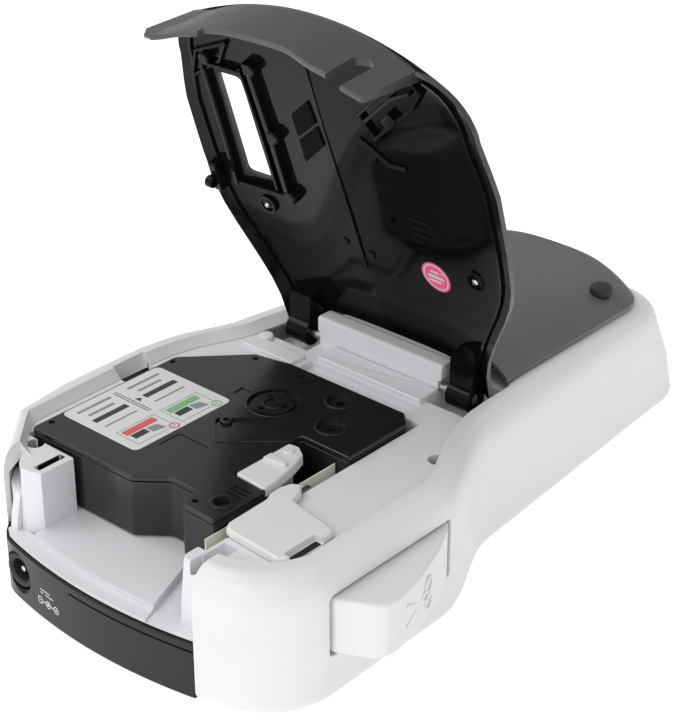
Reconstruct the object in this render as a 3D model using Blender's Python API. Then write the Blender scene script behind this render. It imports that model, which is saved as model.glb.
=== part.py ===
"""Handheld label maker with its tape-cassette lid standing open, lying on its keyboard face.

Frame: +Z up (the back of the device), -Y towards the head end with the power inlet and the label
exit, +Y towards the grip, +X towards the cutter button. The origin is on the keyboard face, in the
plane of symmetry. Drawing dimensions are in millimetres and are turned into metres by MM.
"""

import math

import bmesh
import bpy
from mathutils import Matrix, Vector

MM = 0.001
GAP = 0.3

# Outer case
HEAD_Y = -105.0
FAR_Y = 110.0
HEAD_HALF = 60.0
WAIST_HALF = 46.3
GRIP_HALF = 39.8
HEAD_CORNER_Y = -80.0
WAIST_Y0, WAIST_Y1 = -36.0, 4.0
GRIP_CORNER_Y = 96.0
SOFT_CORNER_Y = 84.0
RIM_Z = 39.5
FAR_SLOPE = 0.33
WALL = 2.4
LIP_INSET = 6.5
RIM_INSET = 9.0
COVER_INSET = 6.6
FACE_T = 2.2

# Head end
PANEL_X0, PANEL_X1 = -40.2, 35.0
PANEL_Z0, PANEL_Z1 = 1.2, 17.4
PANEL_T = 2.2
JACK_X, JACK_Z = -29.4, 9.8

# Chassis
CHASSIS_Z0 = 16.0
FLOOR_Z = 20.0
DECK_Z = 36.5
POST_Y = -95.5

# Lid and hinge
HINGE_Y, HINGE_Z = 11.0, 38.0
OPEN_DEG = 72.5
CORNER_R, CORNER_X, CORNER_Y = 16.4, 34.2, -79.2
HEAD_BOW = 6.6
LID_Y1 = 11.5
LID_REAR_NOTCH_Y = 7.3
COVER_Y0, COVER_Y1 = 21.5, 91.5
SKIN_Z = 39.8
SKIN_T = 1.5
ARM_X0, ARM_X1 = 26.0, 34.0
BAR_HALF = 23.0

# Cassette
CASSETTE = [(-45, -80), (-7, -79.4), (1, -73), (10, -73), (12, -79.6), (23.4, -80), (23.4, -61), (11.5, -61),
            (11.5, -35.5), (28.5, -35.5), (28.5, -12), (24.5, -8), (-17, -8), (-29, -10.5), (-45, -27)]
CASSETTE_Z0, CASSETTE_Z1 = 20.4, 38.6
CASSETTE_SKIN = 1.4

# Gear train
MODULE = 0.7
GEAR_Z0, GEAR_Z1 = 12.4, 15.6
IDLER_TEETH, PINION_TEETH, ROLLER_TEETH, SPINDLE_TEETH = 24, 12, 16, 20
IDLER_XY = (22.0, -40.5)

# Cutter
BUTTON_PIVOT = (56.0, -33.8)
BUTTON_Z0, BUTTON_Z1 = 14.6, 30.6

# Battery bay
CELL_R, CELL_LEN, CELL_COUNT = 5.1, 44.0, 6
CELL_PITCH, CELL_Y0, CELL_Z = 10.5, 29.4, 31.5

COLOURS = {
    "white_shell": ((0.80, 0.80, 0.785), 0.42, 0.0),
    "grey_chassis": ((0.66, 0.68, 0.70), 0.45, 0.0),
    "lid_black": ((0.020, 0.020, 0.022), 0.28, 0.0),
    "panel_dark": ((0.045, 0.043, 0.043), 0.42, 0.0),
    "cassette_black": ((0.012, 0.012, 0.016), 0.22, 0.0),
    "label_paper": ((0.72, 0.74, 0.72), 0.55, 0.0),
    "pink_sticker": ((0.75, 0.06, 0.22), 0.45, 0.0),
    "rubber_black": ((0.02, 0.02, 0.02), 0.75, 0.0),
    "foam_black": ((0.008, 0.008, 0.008), 0.95, 0.0),
    "clear_window": ((0.75, 0.80, 0.82), 0.05, 0.0),
    "lcd_grey": ((0.32, 0.38, 0.33), 0.30, 0.0),
    "key_rubber": ((0.10, 0.10, 0.11), 0.6, 0.0),
    "key_light": ((0.62, 0.63, 0.65), 0.45, 0.0),
    "board_green": ((0.02, 0.16, 0.07), 0.5, 0.0),
    "steel": ((0.62, 0.62, 0.62), 0.28, 1.0),
    "cell_jacket": ((0.10, 0.11, 0.13), 0.35, 0.0),
    "gear_white": ((0.85, 0.84, 0.78), 0.4, 0.0),
    "tape_film": ((0.80, 0.80, 0.72), 0.35, 0.0),
}


# ---------------------------------------------------------------- helpers

def material(name):
    found = bpy.data.materials.get(name)
    if found:
        return found
    colour, roughness, metallic = COLOURS[name]
    made = bpy.data.materials.new(name)
    made.use_nodes = True
    shader = made.node_tree.nodes["Principled BSDF"]
    shader.inputs["Base Color"].default_value = (*colour, 1.0)
    shader.inputs["Roughness"].default_value = roughness
    shader.inputs["Metallic"].default_value = metallic
    return made


def add(name, bm, finish, origin=(0, 0, 0), smooth=30):
    """Turns a bmesh drawn in millimetres into an object in metres whose origin is at origin."""
    bmesh.ops.recalc_face_normals(bm, faces=bm.faces)
    if bm.calc_volume(signed=True) < 0:
        bmesh.ops.reverse_faces(bm, faces=bm.faces)
    bmesh.ops.translate(bm, verts=bm.verts, vec=-Vector(origin))
    bmesh.ops.scale(bm, verts=bm.verts, vec=(MM, MM, MM))
    mesh = bpy.data.meshes.new(name)
    bm.to_mesh(mesh)
    bm.free()
    obj = bpy.data.objects.new(name, mesh)
    bpy.context.scene.collection.objects.link(obj)
    obj.location = Vector(origin) * MM
    if finish:
        mesh.materials.append(material(finish))
    mesh.shade_smooth()
    mesh.set_sharp_from_angle(angle=math.radians(smooth))
    return obj


def loft(rings):
    """A closed body through rings of equal length, each a list of (x, y, z)."""
    bm = bmesh.new()
    made = [[bm.verts.new(p) for p in ring] for ring in rings]
    count = len(made[0])
    for low, high in zip(made, made[1:]):
        for i in range(count):
            j = (i + 1) % count
            bm.faces.new((low[i], low[j], high[j], high[i]))
    bm.faces.new(list(reversed(made[0])))
    bm.faces.new(made[-1])
    return bm


def prism(points, z0, z1):
    return loft([[(x, y, z) for x, y in points] for z in (z0, z1)])


def box(low, high):
    (x0, y0, z0), (x1, y1, z1) = low, high
    return prism([(x0, y0), (x1, y0), (x1, y1), (x0, y1)], z0, z1)


def circle(x, y, r, count=24, start=0.0):
    return [(x + r * math.cos(start + 2 * math.pi * i / count),
             y + r * math.sin(start + 2 * math.pi * i / count)) for i in range(count)]


def disc(x, y, r, z0, z1, count=24):
    return prism(circle(x, y, r, count), z0, z1)


def turn(bm, axis, centre, degrees=90.0):
    """Turns a bmesh about a line through centre."""
    bmesh.ops.rotate(bm, verts=bm.verts, cent=centre, matrix=Matrix.Rotation(math.radians(degrees), 3, axis))
    return bm


def rod(axis, centre, r, length, count=24):
    """A cylinder along X or Y whose middle is at centre."""
    x, y, z = centre
    bm = disc(x, y, r, z - length / 2, z + length / 2, count)
    return turn(bm, "Y" if axis == "X" else "X", centre)


def merge(*parts):
    """Puts several bmeshes in one, without joining their solids."""
    first = parts[0]
    for part in parts[1:]:
        mesh = bpy.data.meshes.new("piece")
        part.to_mesh(mesh)
        part.free()
        first.from_mesh(mesh)
        bpy.data.meshes.remove(mesh)
    return first


def boolean(obj, bm, operation):
    """Cuts a bmesh in millimetres from obj, or joins it to obj."""
    tool = add(f"{obj.name}_{operation.lower()}_{len(obj.modifiers)}", bm, None)
    tool.hide_render = True
    tool.display_type = "WIRE"
    tool.parent = obj.parent
    modifier = obj.modifiers.new(tool.name, "BOOLEAN")
    modifier.operation = operation
    modifier.solver = "EXACT"
    modifier.object = tool
    return obj


def cut(obj, *parts):
    for part in parts:
        boolean(obj, part, "DIFFERENCE")
    return obj


def join(obj, *parts):
    for part in parts:
        boolean(obj, part, "UNION")
    return obj


def smoothstep(t):
    t = min(1.0, max(0.0, t))
    return t * t * (3 - 2 * t)


def bezier(p0, p1, p2, count):
    """Points of a quadratic curve after p0, up to and with p2."""
    found = []
    for i in range(1, count + 1):
        t = i / count
        a, b, c = (1 - t) ** 2, 2 * t * (1 - t), t * t
        found.append((a * p0[0] + b * p1[0] + c * p2[0], a * p0[1] + b * p1[1] + c * p2[1]))
    return found


def case_half(y):
    """Half-width of the case at y, from the straight head sides through the waist to the grip."""
    waist = HEAD_HALF - (HEAD_HALF - WAIST_HALF) * smoothstep((y - WAIST_Y0) / (WAIST_Y1 - WAIST_Y0))
    grip = (WAIST_HALF - GRIP_HALF) * max(0.0, y - WAIST_Y1) / (GRIP_CORNER_Y - WAIST_Y1)
    return waist - grip


def left_side(x, y, inset):
    """Left twin of a right-hand outline point: fuller at the waist, and cut back at the head corner."""
    x = -x - 4.0 * smoothstep((y + 34.0) / 24.0) * (1 - smoothstep((y - 12.0) / 30.0))
    over = 0.5 * inset - 92.8 - (0.747 * x + 0.665 * y)
    pull = over if over > 1.6 else max(0.0, over + 1.6) ** 2 / 6.4
    return (x + 0.747 * pull, y + 0.665 * pull)


def case_outline(inset=0.0, head_in=None, far_in=None, soft=1.0):
    """The case's plan outline, moved in by inset at the sides, head_in at the head and far_in at the grip.

    soft runs from 0, for tight corners at the grip end, to 1, for wide ones.
    """
    head_in = inset if head_in is None else head_in
    far_in = inset if far_in is None else far_in
    head, far = HEAD_Y + head_in, FAR_Y - far_in
    arc_x = 40.0 - 0.6 * inset
    half = [(arc_x * t, head + 5.1 * t * t) for t in (0, 0.2, 0.4, 0.6, 0.8, 1)]
    corner_y = HEAD_CORNER_Y + 0.3 * head_in
    side = HEAD_HALF - inset
    half += bezier(half[-1], (side - 3.0, head + 7.5), (side, corner_y), 6)
    half += [(side, -58.0)]
    steps = 10
    half += [(case_half(y) - inset, y) for y in
             [WAIST_Y0 + (WAIST_Y1 - WAIST_Y0) * i / steps for i in range(steps + 1)]]
    corner_y = GRIP_CORNER_Y + (SOFT_CORNER_Y - GRIP_CORNER_Y) * soft - 0.3 * far_in
    half += [(case_half(y) - inset, y) for y in (30.0, 57.0, corner_y)]
    half += bezier(half[-1], (GRIP_HALF + 0.6 - inset, far + 0.4), (30.0 - 6.0 * soft, far + 0.6), 6)
    half += [(12.0, far + 0.8), (0.0, far + 1.0)]
    return half + [left_side(x, y, inset) for x, y in reversed(half[1:-1])]


def case_ring(z, inset, head_in=None, far_in=None):
    soft = smoothstep((z - 10.0) / 20.0)
    return [(x, y, z) for x, y in case_outline(inset, head_in, far_in, soft)]


def far_shift(z):
    """How far the sloping grip end has moved in at height z."""
    return FAR_SLOPE * max(0.0, z - 8.0)


# ---------------------------------------------------------------- case

def back_case():
    shell = [(0.0, 3.4, 3.4, 5.0), (0.9, 1.4, 1.4, 2.0), (3.6, 0.0, 0.0, 0.0), (30.0, 0.0, 0.0, 0.0),
             (34.0, 0.7, 0.5, 0.6), (37.0, 2.6, 1.6, 2.4), (39.0, 5.2, 3.4, 4.6), (RIM_Z, 7.6, 5.0, 6.6)]
    case = add("back_case", loft([case_ring(z, i, h, f + far_shift(z)) for z, i, h, f in shell]), "white_shell")
    inside = [(-1.0, LIP_INSET), (FACE_T + 0.4, LIP_INSET), (FACE_T + 0.6, WALL), (32.0, WALL),
              (35.0, RIM_INSET), (RIM_Z + 1.5, RIM_INSET)]
    cut(case, loft([case_ring(z, i, i, i + far_shift(z)) for z, i in inside]))
    x0, x1 = PANEL_X0 - GAP, PANEL_X1 + GAP
    cut(case, box((x0, HEAD_Y - 6, PANEL_Z0 - GAP), (x1, HEAD_Y + 16, RIM_Z + 3)))
    cut(case, box((-37.6, 3.5, 33.0), (37.6, 22.0, RIM_Z + 3)))
    cut(case, box((50.0, -77.6, BUTTON_Z0 - 0.8), (66.0, -30.6, BUTTON_Z1 + 0.8)))
    return case


def panel_arc(x, y_in=0.0):
    """The curve of the head end's outer face, moved in by y_in and cut back at the left corner."""
    arc = HEAD_Y + 5.1 * (x / 40.0) ** 2
    over = (-92.8 - 0.747 * x) / 0.665 - arc
    return arc + y_in + (over if over > 2.4 else max(0.0, over + 2.4) ** 2 / 9.6)


def panel_plan(x0, x1, y_in, depth, inner_y=None):
    """Plan of a piece whose front follows the head arc."""
    xs = [x0 + (x1 - x0) * i / 12 for i in range(13)]
    outer = [(x, panel_arc(x, y_in)) for x in xs]
    return outer + [(x, panel_arc(x, y_in + depth) if inner_y is None else inner_y) for x in reversed(xs)]


def end_panel():
    panel = add("end_panel", prism(panel_plan(PANEL_X0, PANEL_X1, 0.25, PANEL_T), PANEL_Z0, PANEL_Z1), "panel_dark")
    jack_y = panel_arc(JACK_X)
    return cut(panel, rod("Y", (JACK_X, jack_y + 1, JACK_Z), 5.5, 12, 28))


def dc_jack():
    y = panel_arc(JACK_X) + 0.9
    jack = add("dc_jack", rod("Y", (JACK_X, y + 6, JACK_Z), 5.1, 12, 24), "rubber_black")
    cut(jack, rod("Y", (JACK_X, y + 4, JACK_Z), 3.3, 10, 24))
    return join(jack, rod("Y", (JACK_X, y + 6.5, JACK_Z), 1.0, 9, 12))



# ---------------------------------------------------------------- keyboard face

DISPLAY = (-33.0, -84.0, 33.0, -46.0)
KEYPAD = (-31.0, 12.0, 31.0, 86.0)
KEY_TRAVEL = 0.8
KEY_FACE_Z = 0.6
ROUND_KEYS = {"power_key": (-36.0, -30.0, 4.5), "ok_key": (0.0, -24.0, 5.0), "print_key": (36.0, -30.0, 6.0)}
BAR_KEYS = {"clear_key": (-33.0, -15.0, -23.0, -8.0), "save_key": (23.0, -15.0, 33.0, -8.0)}
NAV_R = (6.2, 12.5)


def front_cover():
    lo = case_ring(0.0, LIP_INSET + GAP, LIP_INSET + GAP, LIP_INSET + GAP)
    hi = case_ring(FACE_T, LIP_INSET + GAP, LIP_INSET + GAP, LIP_INSET + GAP)
    cover = add("front_cover", loft([lo, hi]), "white_shell")
    x0, y0, x1, y1 = DISPLAY
    cut(cover, box((x0 - 2, y0 - 2, -1), (x1 + 2, y1 + 2, 0.9)), box((x0, y0, -1), (x1, y1, 4)))
    x0, y0, x1, y1 = KEYPAD
    cut(cover, box((x0, y0, -1), (x1, y1, 4)))
    for x, y, r in ROUND_KEYS.values():
        cut(cover, disc(x, y, r + 0.35 if r != 5.0 else NAV_R[1] + 0.4, -1, 4, 28))
    for x0, y0, x1, y1 in BAR_KEYS.values():
        cut(cover, box((x0 - 0.35, y0 - 0.35, -1), (x1 + 0.35, y1 + 0.35, 4)))
    return cover


def display():
    x0, y0, x1, y1 = DISPLAY
    add("display_window", box((x0 - 1.7, y0 - 1.7, 0.05), (x1 + 1.7, y1 + 1.7, 0.6)), "clear_window")
    return add("lcd_module", box((x0 + 0.4, y0 + 0.4, 1.2), (x1 - 0.4, y1 - 0.4, 3.8)), "lcd_grey")


def keypad():
    """One moulded rubber mat: a web with rows of keys standing on it."""
    x0, y0, x1, y1 = KEYPAD
    mat = add("keypad", box((x0 - 1, y0 - 1, FACE_T + GAP), (x1 + 1, y1 + 1, FACE_T + 1.5)), "key_rubber")
    columns, rows = 6, 5
    dx, dy = (x1 - x0) / columns, (y1 - y0) / rows
    for row in range(rows):
        for column in range(columns):
            x, y = x0 + dx * (column + 0.5), y0 + dy * (row + 0.5)
            join(mat, box((x - dx * 0.36, y - dy * 0.33, KEY_FACE_Z), (x + dx * 0.36, y + dy * 0.33, FACE_T + 0.6)))
    return mat


def hard_keys():
    top = FACE_T + 1.0
    for name, (x, y, r) in ROUND_KEYS.items():
        add(name, disc(x, y, r, KEY_FACE_Z, top, 24), "key_light", (x, y, KEY_FACE_Z))
    for name, (x0, y0, x1, y1) in BAR_KEYS.items():
        centre = ((x0 + x1) / 2, (y0 + y1) / 2, KEY_FACE_Z)
        add(name, box((x0, y0, KEY_FACE_Z), (x1, y1, top)), "key_light", centre)
    x, y, _ = ROUND_KEYS["ok_key"]
    ring = add("navigation_ring", disc(x, y, NAV_R[1], KEY_FACE_Z, top, 32), "key_light")
    return cut(ring, disc(x, y, NAV_R[0] - 0.5, -1, 6, 32))


def main_board():
    outline = [(-34, -80), (34, -80), (40, -60), (40, -36), (33, -8), (31, 80), (-31, 80), (-33, -8), (-40, -36),
               (-40, -60)]
    return add("main_board", prism(outline, 5.2, 6.8), "board_green")


# ---------------------------------------------------------------- chassis

def chassis_outline():
    """Plan of the grey moulding, which fills the rim's opening."""
    inset = RIM_INSET + 0.6
    points = case_outline(inset, inset, inset + 11.0)
    return [(x, max(y, POST_Y)) for x, y in points]


def bar_profile():
    """Section of the hinge bar, rounded so that the lid's rear edge passes over it."""
    return [(9.2, 33.0), (9.2, 44.2), (10.0, 45.0), (13.0, 45.2), (15.2, 44.6), (16.4, 43.4), (16.8, 41.8),
            (22.4, 41.2), (22.4, 33.0)]


def chassis():
    body = add("chassis", prism(chassis_outline(), CHASSIS_Z0, DECK_Z), "grey_chassis")
    join(body, prism(panel_plan(-36.6, PANEL_X1 - 0.5, 1.2, 0, POST_Y + 1.0), PANEL_Z1 + GAP, 18.6))
    join(body, prism(panel_plan(-28.0, 14.5, 5.6, 0, POST_Y + 1.0), CHASSIS_Z0, FLOOR_Z))
    cut(body, box((-60.0, HEAD_Y, 18.6), (-27.4, -92.8, DECK_Z + 4)))
    well = [(-45.9, -80.9), (29.2, -80.9), (29.2, -7.4), (-17.2, -7.4), (-29.3, -9.9), (-45.9, -26.6)]
    cut(body, prism(well, FLOOR_Z, DECK_Z + 4))
    cut(body, box((-27.4, HEAD_Y, FLOOR_Z), (28.9, -79, DECK_Z + 4)))
    cut(body, box((14.5, HEAD_Y, 18.6), (28.9, -82.0, DECK_Z)))
    # pocket under the right deck for the motor
    cut(body, box((31.5, -52.0, CHASSIS_Z0 - 1), (48.5, -30.0, DECK_Z - 2.6)))
    # hinge recesses beside the bar
    for side in (-1, 1):
        x0, x1 = sorted((side * (BAR_HALF - 1.0), side * 45.0))
        cut(body, box((x0, 3.5, 30.5), (x1, 22.2, DECK_Z + 4)))
    # left post: round hole and rectangular slot; right post: pocket; deck: screw hole
    cut(body, disc(-40.3, -82.8, 2.4, 26, DECK_Z + 1, 20), box((-31.4, -91.2, 28), (-29.0, -82.0, DECK_Z + 1)))
    cut(body, box((30.0, -94.2, 31.0), (34.6, -82.6, DECK_Z + 1)), disc(44.2, -18.2, 2.6, 28, DECK_Z + 1, 20))
    cut(body, box((-17.0, -8.0, 34.6), (23.0, 1.2, DECK_Z + 4)))
    # slot that lets the blade cross to the label path
    cut(body, box((28.0, -87.2, FLOOR_Z), (60.0, -84.8, 30.4)))
    # lower shelf in front of the bar, and the battery bay
    y0, y1 = CELL_Y0 - CELL_R - 0.6, CELL_Y0 + CELL_PITCH * (CELL_COUNT - 1) + CELL_R + 0.6
    half = CELL_LEN / 2 + 2.6
    cut(body, box((-half, y0, CELL_Z - CELL_R - 0.4), (half, y1, DECK_Z + 4)))
    # passages for the roller and spindle shafts
    for x, y in (roller_xy(), spindle_xy()):
        cut(body, disc(x, y, 2.6, CHASSIS_Z0 - 1, FLOOR_Z + 1, 20))
    join(body, loft([[(x, y, z) for y, z in bar_profile()] for x in (BAR_HALF, -BAR_HALF)]))
    return cut(body, rod("X", (0.0, HINGE_Y, HINGE_Z), 1.9, 2 * BAR_HALF + 10, 16))


def hinge_pins():
    for name, side in (("left", -1), ("right", 1)):
        x = side * (ARM_X1 + 12.0) / 2
        add(f"hinge_pin_{name}", rod("X", (x, HINGE_Y, HINGE_Z), 1.5, ARM_X1 - 13.0, 16), "steel")


# ---------------------------------------------------------------- lid and battery cover

def crown(y):
    """How far the middle of the back stands above its edges."""
    return 2.2 + 4.2 * smoothstep((y + 95.0) / 90.0) - 1.6 * smoothstep((y - 45.0) / 50.0)


def lid_half(y):
    """Half-width of the lid at y: round corners at the head, then a little inside the rim."""
    side = case_half(y) - 6.2 - 2.2 * smoothstep((y + 50.0) / 35.0)
    if y > CORNER_Y:
        return CORNER_X + CORNER_R + (side - CORNER_X - CORNER_R) * min(1.0, (y - CORNER_Y) / 14.0)
    return CORNER_X + math.sqrt(max(0.0, CORNER_R ** 2 - (y - CORNER_Y) ** 2))


def rear_half(y):
    """Half-width of the battery cover at y, with its rounded far corners."""
    far = max(0.0, y - (COVER_Y1 - 11.0))
    return 25.6 + 11.0 * math.sqrt(max(0.0, 1 - (far / 11.0) ** 2))


def skin(rows, half, bow):
    """A crowned sheet through the y values in rows, closed to a solid. bow(u, y) bends a row's ends."""
    us = [math.sin(math.pi / 2 * (i / 8 - 1)) for i in range(17)]
    bm = bmesh.new()
    sheets = []
    for lift in (SKIN_T, 0.0):
        sheet = []
        for y in rows:
            line = [bm.verts.new((u * half(y), bow(u, y), SKIN_Z + lift + crown(y) * (1 - u ** 4))) for u in us]
            sheet.append(line)
        sheets.append(sheet)
    top, low = sheets
    for r in range(len(rows) - 1):
        for c in range(len(us) - 1):
            bm.faces.new((top[r][c], top[r][c + 1], top[r + 1][c + 1], top[r + 1][c]))
            bm.faces.new((low[r][c], low[r + 1][c], low[r + 1][c + 1], low[r][c + 1]))
    for r in (0, len(rows) - 1):
        for c in range(len(us) - 1):
            bm.faces.new((top[r][c], low[r][c], low[r][c + 1], top[r][c + 1]))
    for c in (0, len(us) - 1):
        for r in range(len(rows) - 1):
            bm.faces.new((top[r][c], top[r + 1][c], low[r + 1][c], low[r][c]))
    return bm


def lid_rows():
    head = [CORNER_Y - CORNER_R * math.cos(math.pi / 2 * i / 4) for i in range(5)]
    return head + [-66, -53, -41, -31, -22, -13, -5, 3, LID_Y1]


def lid_bow(u, y):
    return y - HEAD_BOW * (1 - u * u) * smoothstep((-60.0 - y) / 35.6)


VISOR_EDGE = [(-40.2, 23.0), (-38.4, 20.8), (-35.0, 19.9), (-24.0, 22.7), (-20.6, 23.5), (-20.4, 25.1),
              (-13.0, 25.7), (6.0, 25.7), (20.0, 23.2), (30.0, 21.3), (34.8, 21.1)]


def lid_edge(x):
    """(y, z) of the lid's head edge at x, at the middle of the skin."""
    if abs(x) > CORNER_X:
        return CORNER_Y - math.sqrt(CORNER_R ** 2 - (abs(x) - CORNER_X) ** 2), SKIN_Z + SKIN_T / 2
    u = x / CORNER_X
    y = CORNER_Y - CORNER_R
    return y - HEAD_BOW * (1 - u * u), SKIN_Z + SKIN_T / 2 + crown(y) * (1 - u ** 4)


def visor():
    """The wall that hangs from the lid's head end, leaning out a little, with an uneven free edge."""
    rings = []
    for x, z in VISOR_EDGE:
        y = -97.4 - 5.2 * (1 - (x / 40.0) ** 2)
        ye, ze = lid_edge(x)
        rings.append([(x, y - 2.3, z), (x, y - 0.7, z), (x, ye + 2.6, ze + 0.1), (x, ye + 0.9, ze + 0.1)])
    return loft(rings)


def arm(side):
    """A hinge arm under the lid's rear corner, whose top follows the skin."""
    rings = []
    for x in (ARM_X0, (ARM_X0 + ARM_X1) / 2, ARM_X1):
        tops = [(y, SKIN_Z + crown(y) * (1 - (x / lid_half(y)) ** 4) + 0.6) for y in (-1.0, 5.0, LID_Y1 - 0.3)]
        profile = [(LID_Y1 - 0.3, HINGE_Z - 3.0), (8.0, HINGE_Z - 1.0)] + [(-1.0, SKIN_Z + 0.2)] + tops
        rings.append([(side * x, y, z) for y, z in profile])
    return loft(rings)


WINDOW = (-41.2, -75.0, -32.4, -39.0)
SLOT = (22.6, 28.2, 35.5)
LID_FEET = [(-37.2, -29.0), (37.6, -29.0)]


def lid_frame():
    frame = bpy.data.objects.new("lid_frame", None)
    bpy.context.scene.collection.objects.link(frame)
    frame.location = Vector((0, HINGE_Y, HINGE_Z)) * MM
    frame.rotation_euler = (math.radians(-OPEN_DEG), 0, 0)
    return frame


def lid_piece(name, bm, finish, frame):
    """A piece of the lid, drawn closed, with its origin on the hinge axis."""
    obj = add(name, bm, finish, (0, HINGE_Y, HINGE_Z))
    obj.location = (0, 0, 0)
    obj.parent = frame
    return obj


def lid_tool(obj, bm, operation):
    tool = lid_piece(f"{obj.name}_{operation.lower()}_{len(obj.modifiers)}", bm, None, obj.parent)
    tool.hide_render = True
    tool.display_type = "WIRE"
    modifier = obj.modifiers.new(tool.name, "BOOLEAN")
    modifier.operation = operation
    modifier.solver = "EXACT"
    modifier.object = tool


def hold_down_pad():
    """Foam under the lid that follows the skin."""
    rings = []
    for y in (-74.0, -68.0, -62.0, -56.0, -51.0):
        tops = [(x, SKIN_Z + crown(y) * (1 - (x / lid_half(y)) ** 4) - 0.4) for x in (-16.0, -12.0, -7.5)]
        rings.append([(x, y, z) for x, z in tops] + [(x, y, z - 1.0) for x, z in reversed(tops)])
    return loft(rings)


def cassette_lid():
    frame = lid_frame()
    lid = lid_piece("cassette_lid", skin(lid_rows(), lid_half, lid_bow), "lid_black", frame)
    lid_tool(lid, visor(), "UNION")
    lid_tool(lid, box((-24.6, LID_REAR_NOTCH_Y, 30), (24.6, 20, 60)), "DIFFERENCE")
    for side in (-1, 1):
        lid_tool(lid, arm(side), "UNION")
        lid_tool(lid, rod("X", (side * (ARM_X0 + ARM_X1) / 2, HINGE_Y, HINGE_Z), 4.0, ARM_X1 - ARM_X0, 16), "UNION")
    lid_tool(lid, rod("X", (0, HINGE_Y, HINGE_Z), 1.9, 2 * ARM_X1 + 6, 16), "DIFFERENCE")
    x0, y0, x1, y1 = WINDOW
    lid_tool(lid, box((x0, y0, 30), (x1, y1, 60)), "DIFFERENCE")
    x0, x1, z1 = SLOT
    lid_tool(lid, box((x0, -115, 15), (x1, -96, z1)), "DIFFERENCE")
    for x, y in LID_FEET:
        z = skin_z(x, y, lid_half)
        lid_piece(f"lid_foot_{'left' if x < 0 else 'right'}", disc(x, y, 3.6, z + 0.9, z + 2.7, 16),
                  "rubber_black", frame)
    lid_piece("hold_down_pad", hold_down_pad(), "foam_black", frame)
    return lid


def skin_z(x, y, half):
    """Height of the back skin's outer face."""
    return SKIN_Z + SKIN_T + crown(y) * (1 - (x / half(y)) ** 4)


def cover_rows():
    far = [COVER_Y1 - 11.0 + 11.0 * math.sin(math.pi / 2 * i / 4) * 0.985 for i in range(5)]
    return [COVER_Y0, 34, 48, 64] + far


def cover_bow(u, y):
    return y + 3.4 * (1 - u * u) * smoothstep((y - 60.0) / 30.0) + 1.6 * (1 - u * u) * smoothstep((40.0 - y) / 18.0)


BATTERY_FEET = [(-29.0, 77.0), (29.0, 77.0)]


def battery_cover():
    cover = add("battery_cover", skin(cover_rows(), rear_half, cover_bow), "panel_dark", (0, 60, SKIN_Z))
    for x, y in BATTERY_FEET:
        z = skin_z(x, y, rear_half)
        add(f"battery_foot_{'left' if x < 0 else 'right'}", disc(x, y, 2.9, z + 0.9, z + 2.7, 16), "rubber_black")
    return cover


# ---------------------------------------------------------------- cassette

def cassette():
    case = add("cassette_case", prism(CASSETTE, CASSETTE_Z0, CASSETTE_Z1 - CASSETTE_SKIN - GAP), "cassette_black")
    hollow = [(-43.4, -78.4), (-7.8, -78.4), (0.4, -71.4), (9.9, -71.4), (9.9, -34.0), (26.9, -34.0), (26.9, -12.7),
              (23.9, -9.6), (-16.6, -9.6), (-28.3, -12.0), (-43.4, -27.4)]
    cut(case, prism(hollow, CASSETTE_Z0 + 1.2, CASSETTE_Z1 + 2))
    x, y = spindle_xy()
    cut(case, disc(x, y, 3.2, CASSETTE_Z0 - 1, CASSETTE_Z0 + 3, 20))
    cover = add("cassette_cover", prism(CASSETTE, CASSETTE_Z1 - CASSETTE_SKIN, CASSETTE_Z1), "cassette_black")
    cut(cover, disc(19.1, -73.0, 2.2, 30, 45, 20), disc(13.9, -76.0, 0.8, 30, 45, 12))
    label = [(-44.2, -70.2), (-15.0, -70.2), (-15.0, -34.4), (-44.2, -34.4)]
    add("cassette_label", prism(label, CASSETTE_Z1 + GAP, CASSETTE_Z1 + GAP + 0.25), "label_paper")
    spools()
    add("label_tape", box((TAPE_X - 0.15, -83.6, CASSETTE_Z0 + 3.2), (TAPE_X + 0.15, -35.9, CASSETTE_Z1 - 3.4)),
        "tape_film")
    return case


TAPE_X = 24.05
TAPE_SPOOL_XY = (-22.0, -56.0)
RIBBON_SPOOL_XY = (-3.0, -24.0)
SPOOL_Z0, SPOOL_Z1 = 22.0, 36.4


def spools():
    add("tape_spool", disc(*TAPE_SPOOL_XY, 20.5, SPOOL_Z0, SPOOL_Z1, 32), "tape_film", (*TAPE_SPOOL_XY, SPOOL_Z0))
    add("ribbon_spool", disc(*RIBBON_SPOOL_XY, 10.0, SPOOL_Z0, SPOOL_Z1, 28), "rubber_black",
        (*RIBBON_SPOOL_XY, SPOOL_Z0))
    x, y = spindle_xy()
    takeup = add("takeup_spool", disc(x, y, 6.0, SPOOL_Z0, SPOOL_Z1, 24), "rubber_black", (x, y, SPOOL_Z0))
    return cut(takeup, disc(x, y, 2.3, SPOOL_Z0 - 1, SPOOL_Z1 - 3, 6))


# ---------------------------------------------------------------- drive

def gear_r(teeth):
    return MODULE * teeth / 2


def mesh_xy(teeth, degrees):
    """Centre of a gear in mesh with the idler, in the direction given."""
    d = gear_r(teeth) + gear_r(IDLER_TEETH) + 0.12
    a = math.radians(degrees)
    return IDLER_XY[0] + d * math.cos(a), IDLER_XY[1] + d * math.sin(a)


ROLLER_DIR, SPINDLE_DIR, PINION_DIR = -96.5, 118.0, 0.0


def roller_xy():
    return mesh_xy(ROLLER_TEETH, ROLLER_DIR)


def spindle_xy():
    return mesh_xy(SPINDLE_TEETH, SPINDLE_DIR)


def pinion_xy():
    return mesh_xy(PINION_TEETH, PINION_DIR)


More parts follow.
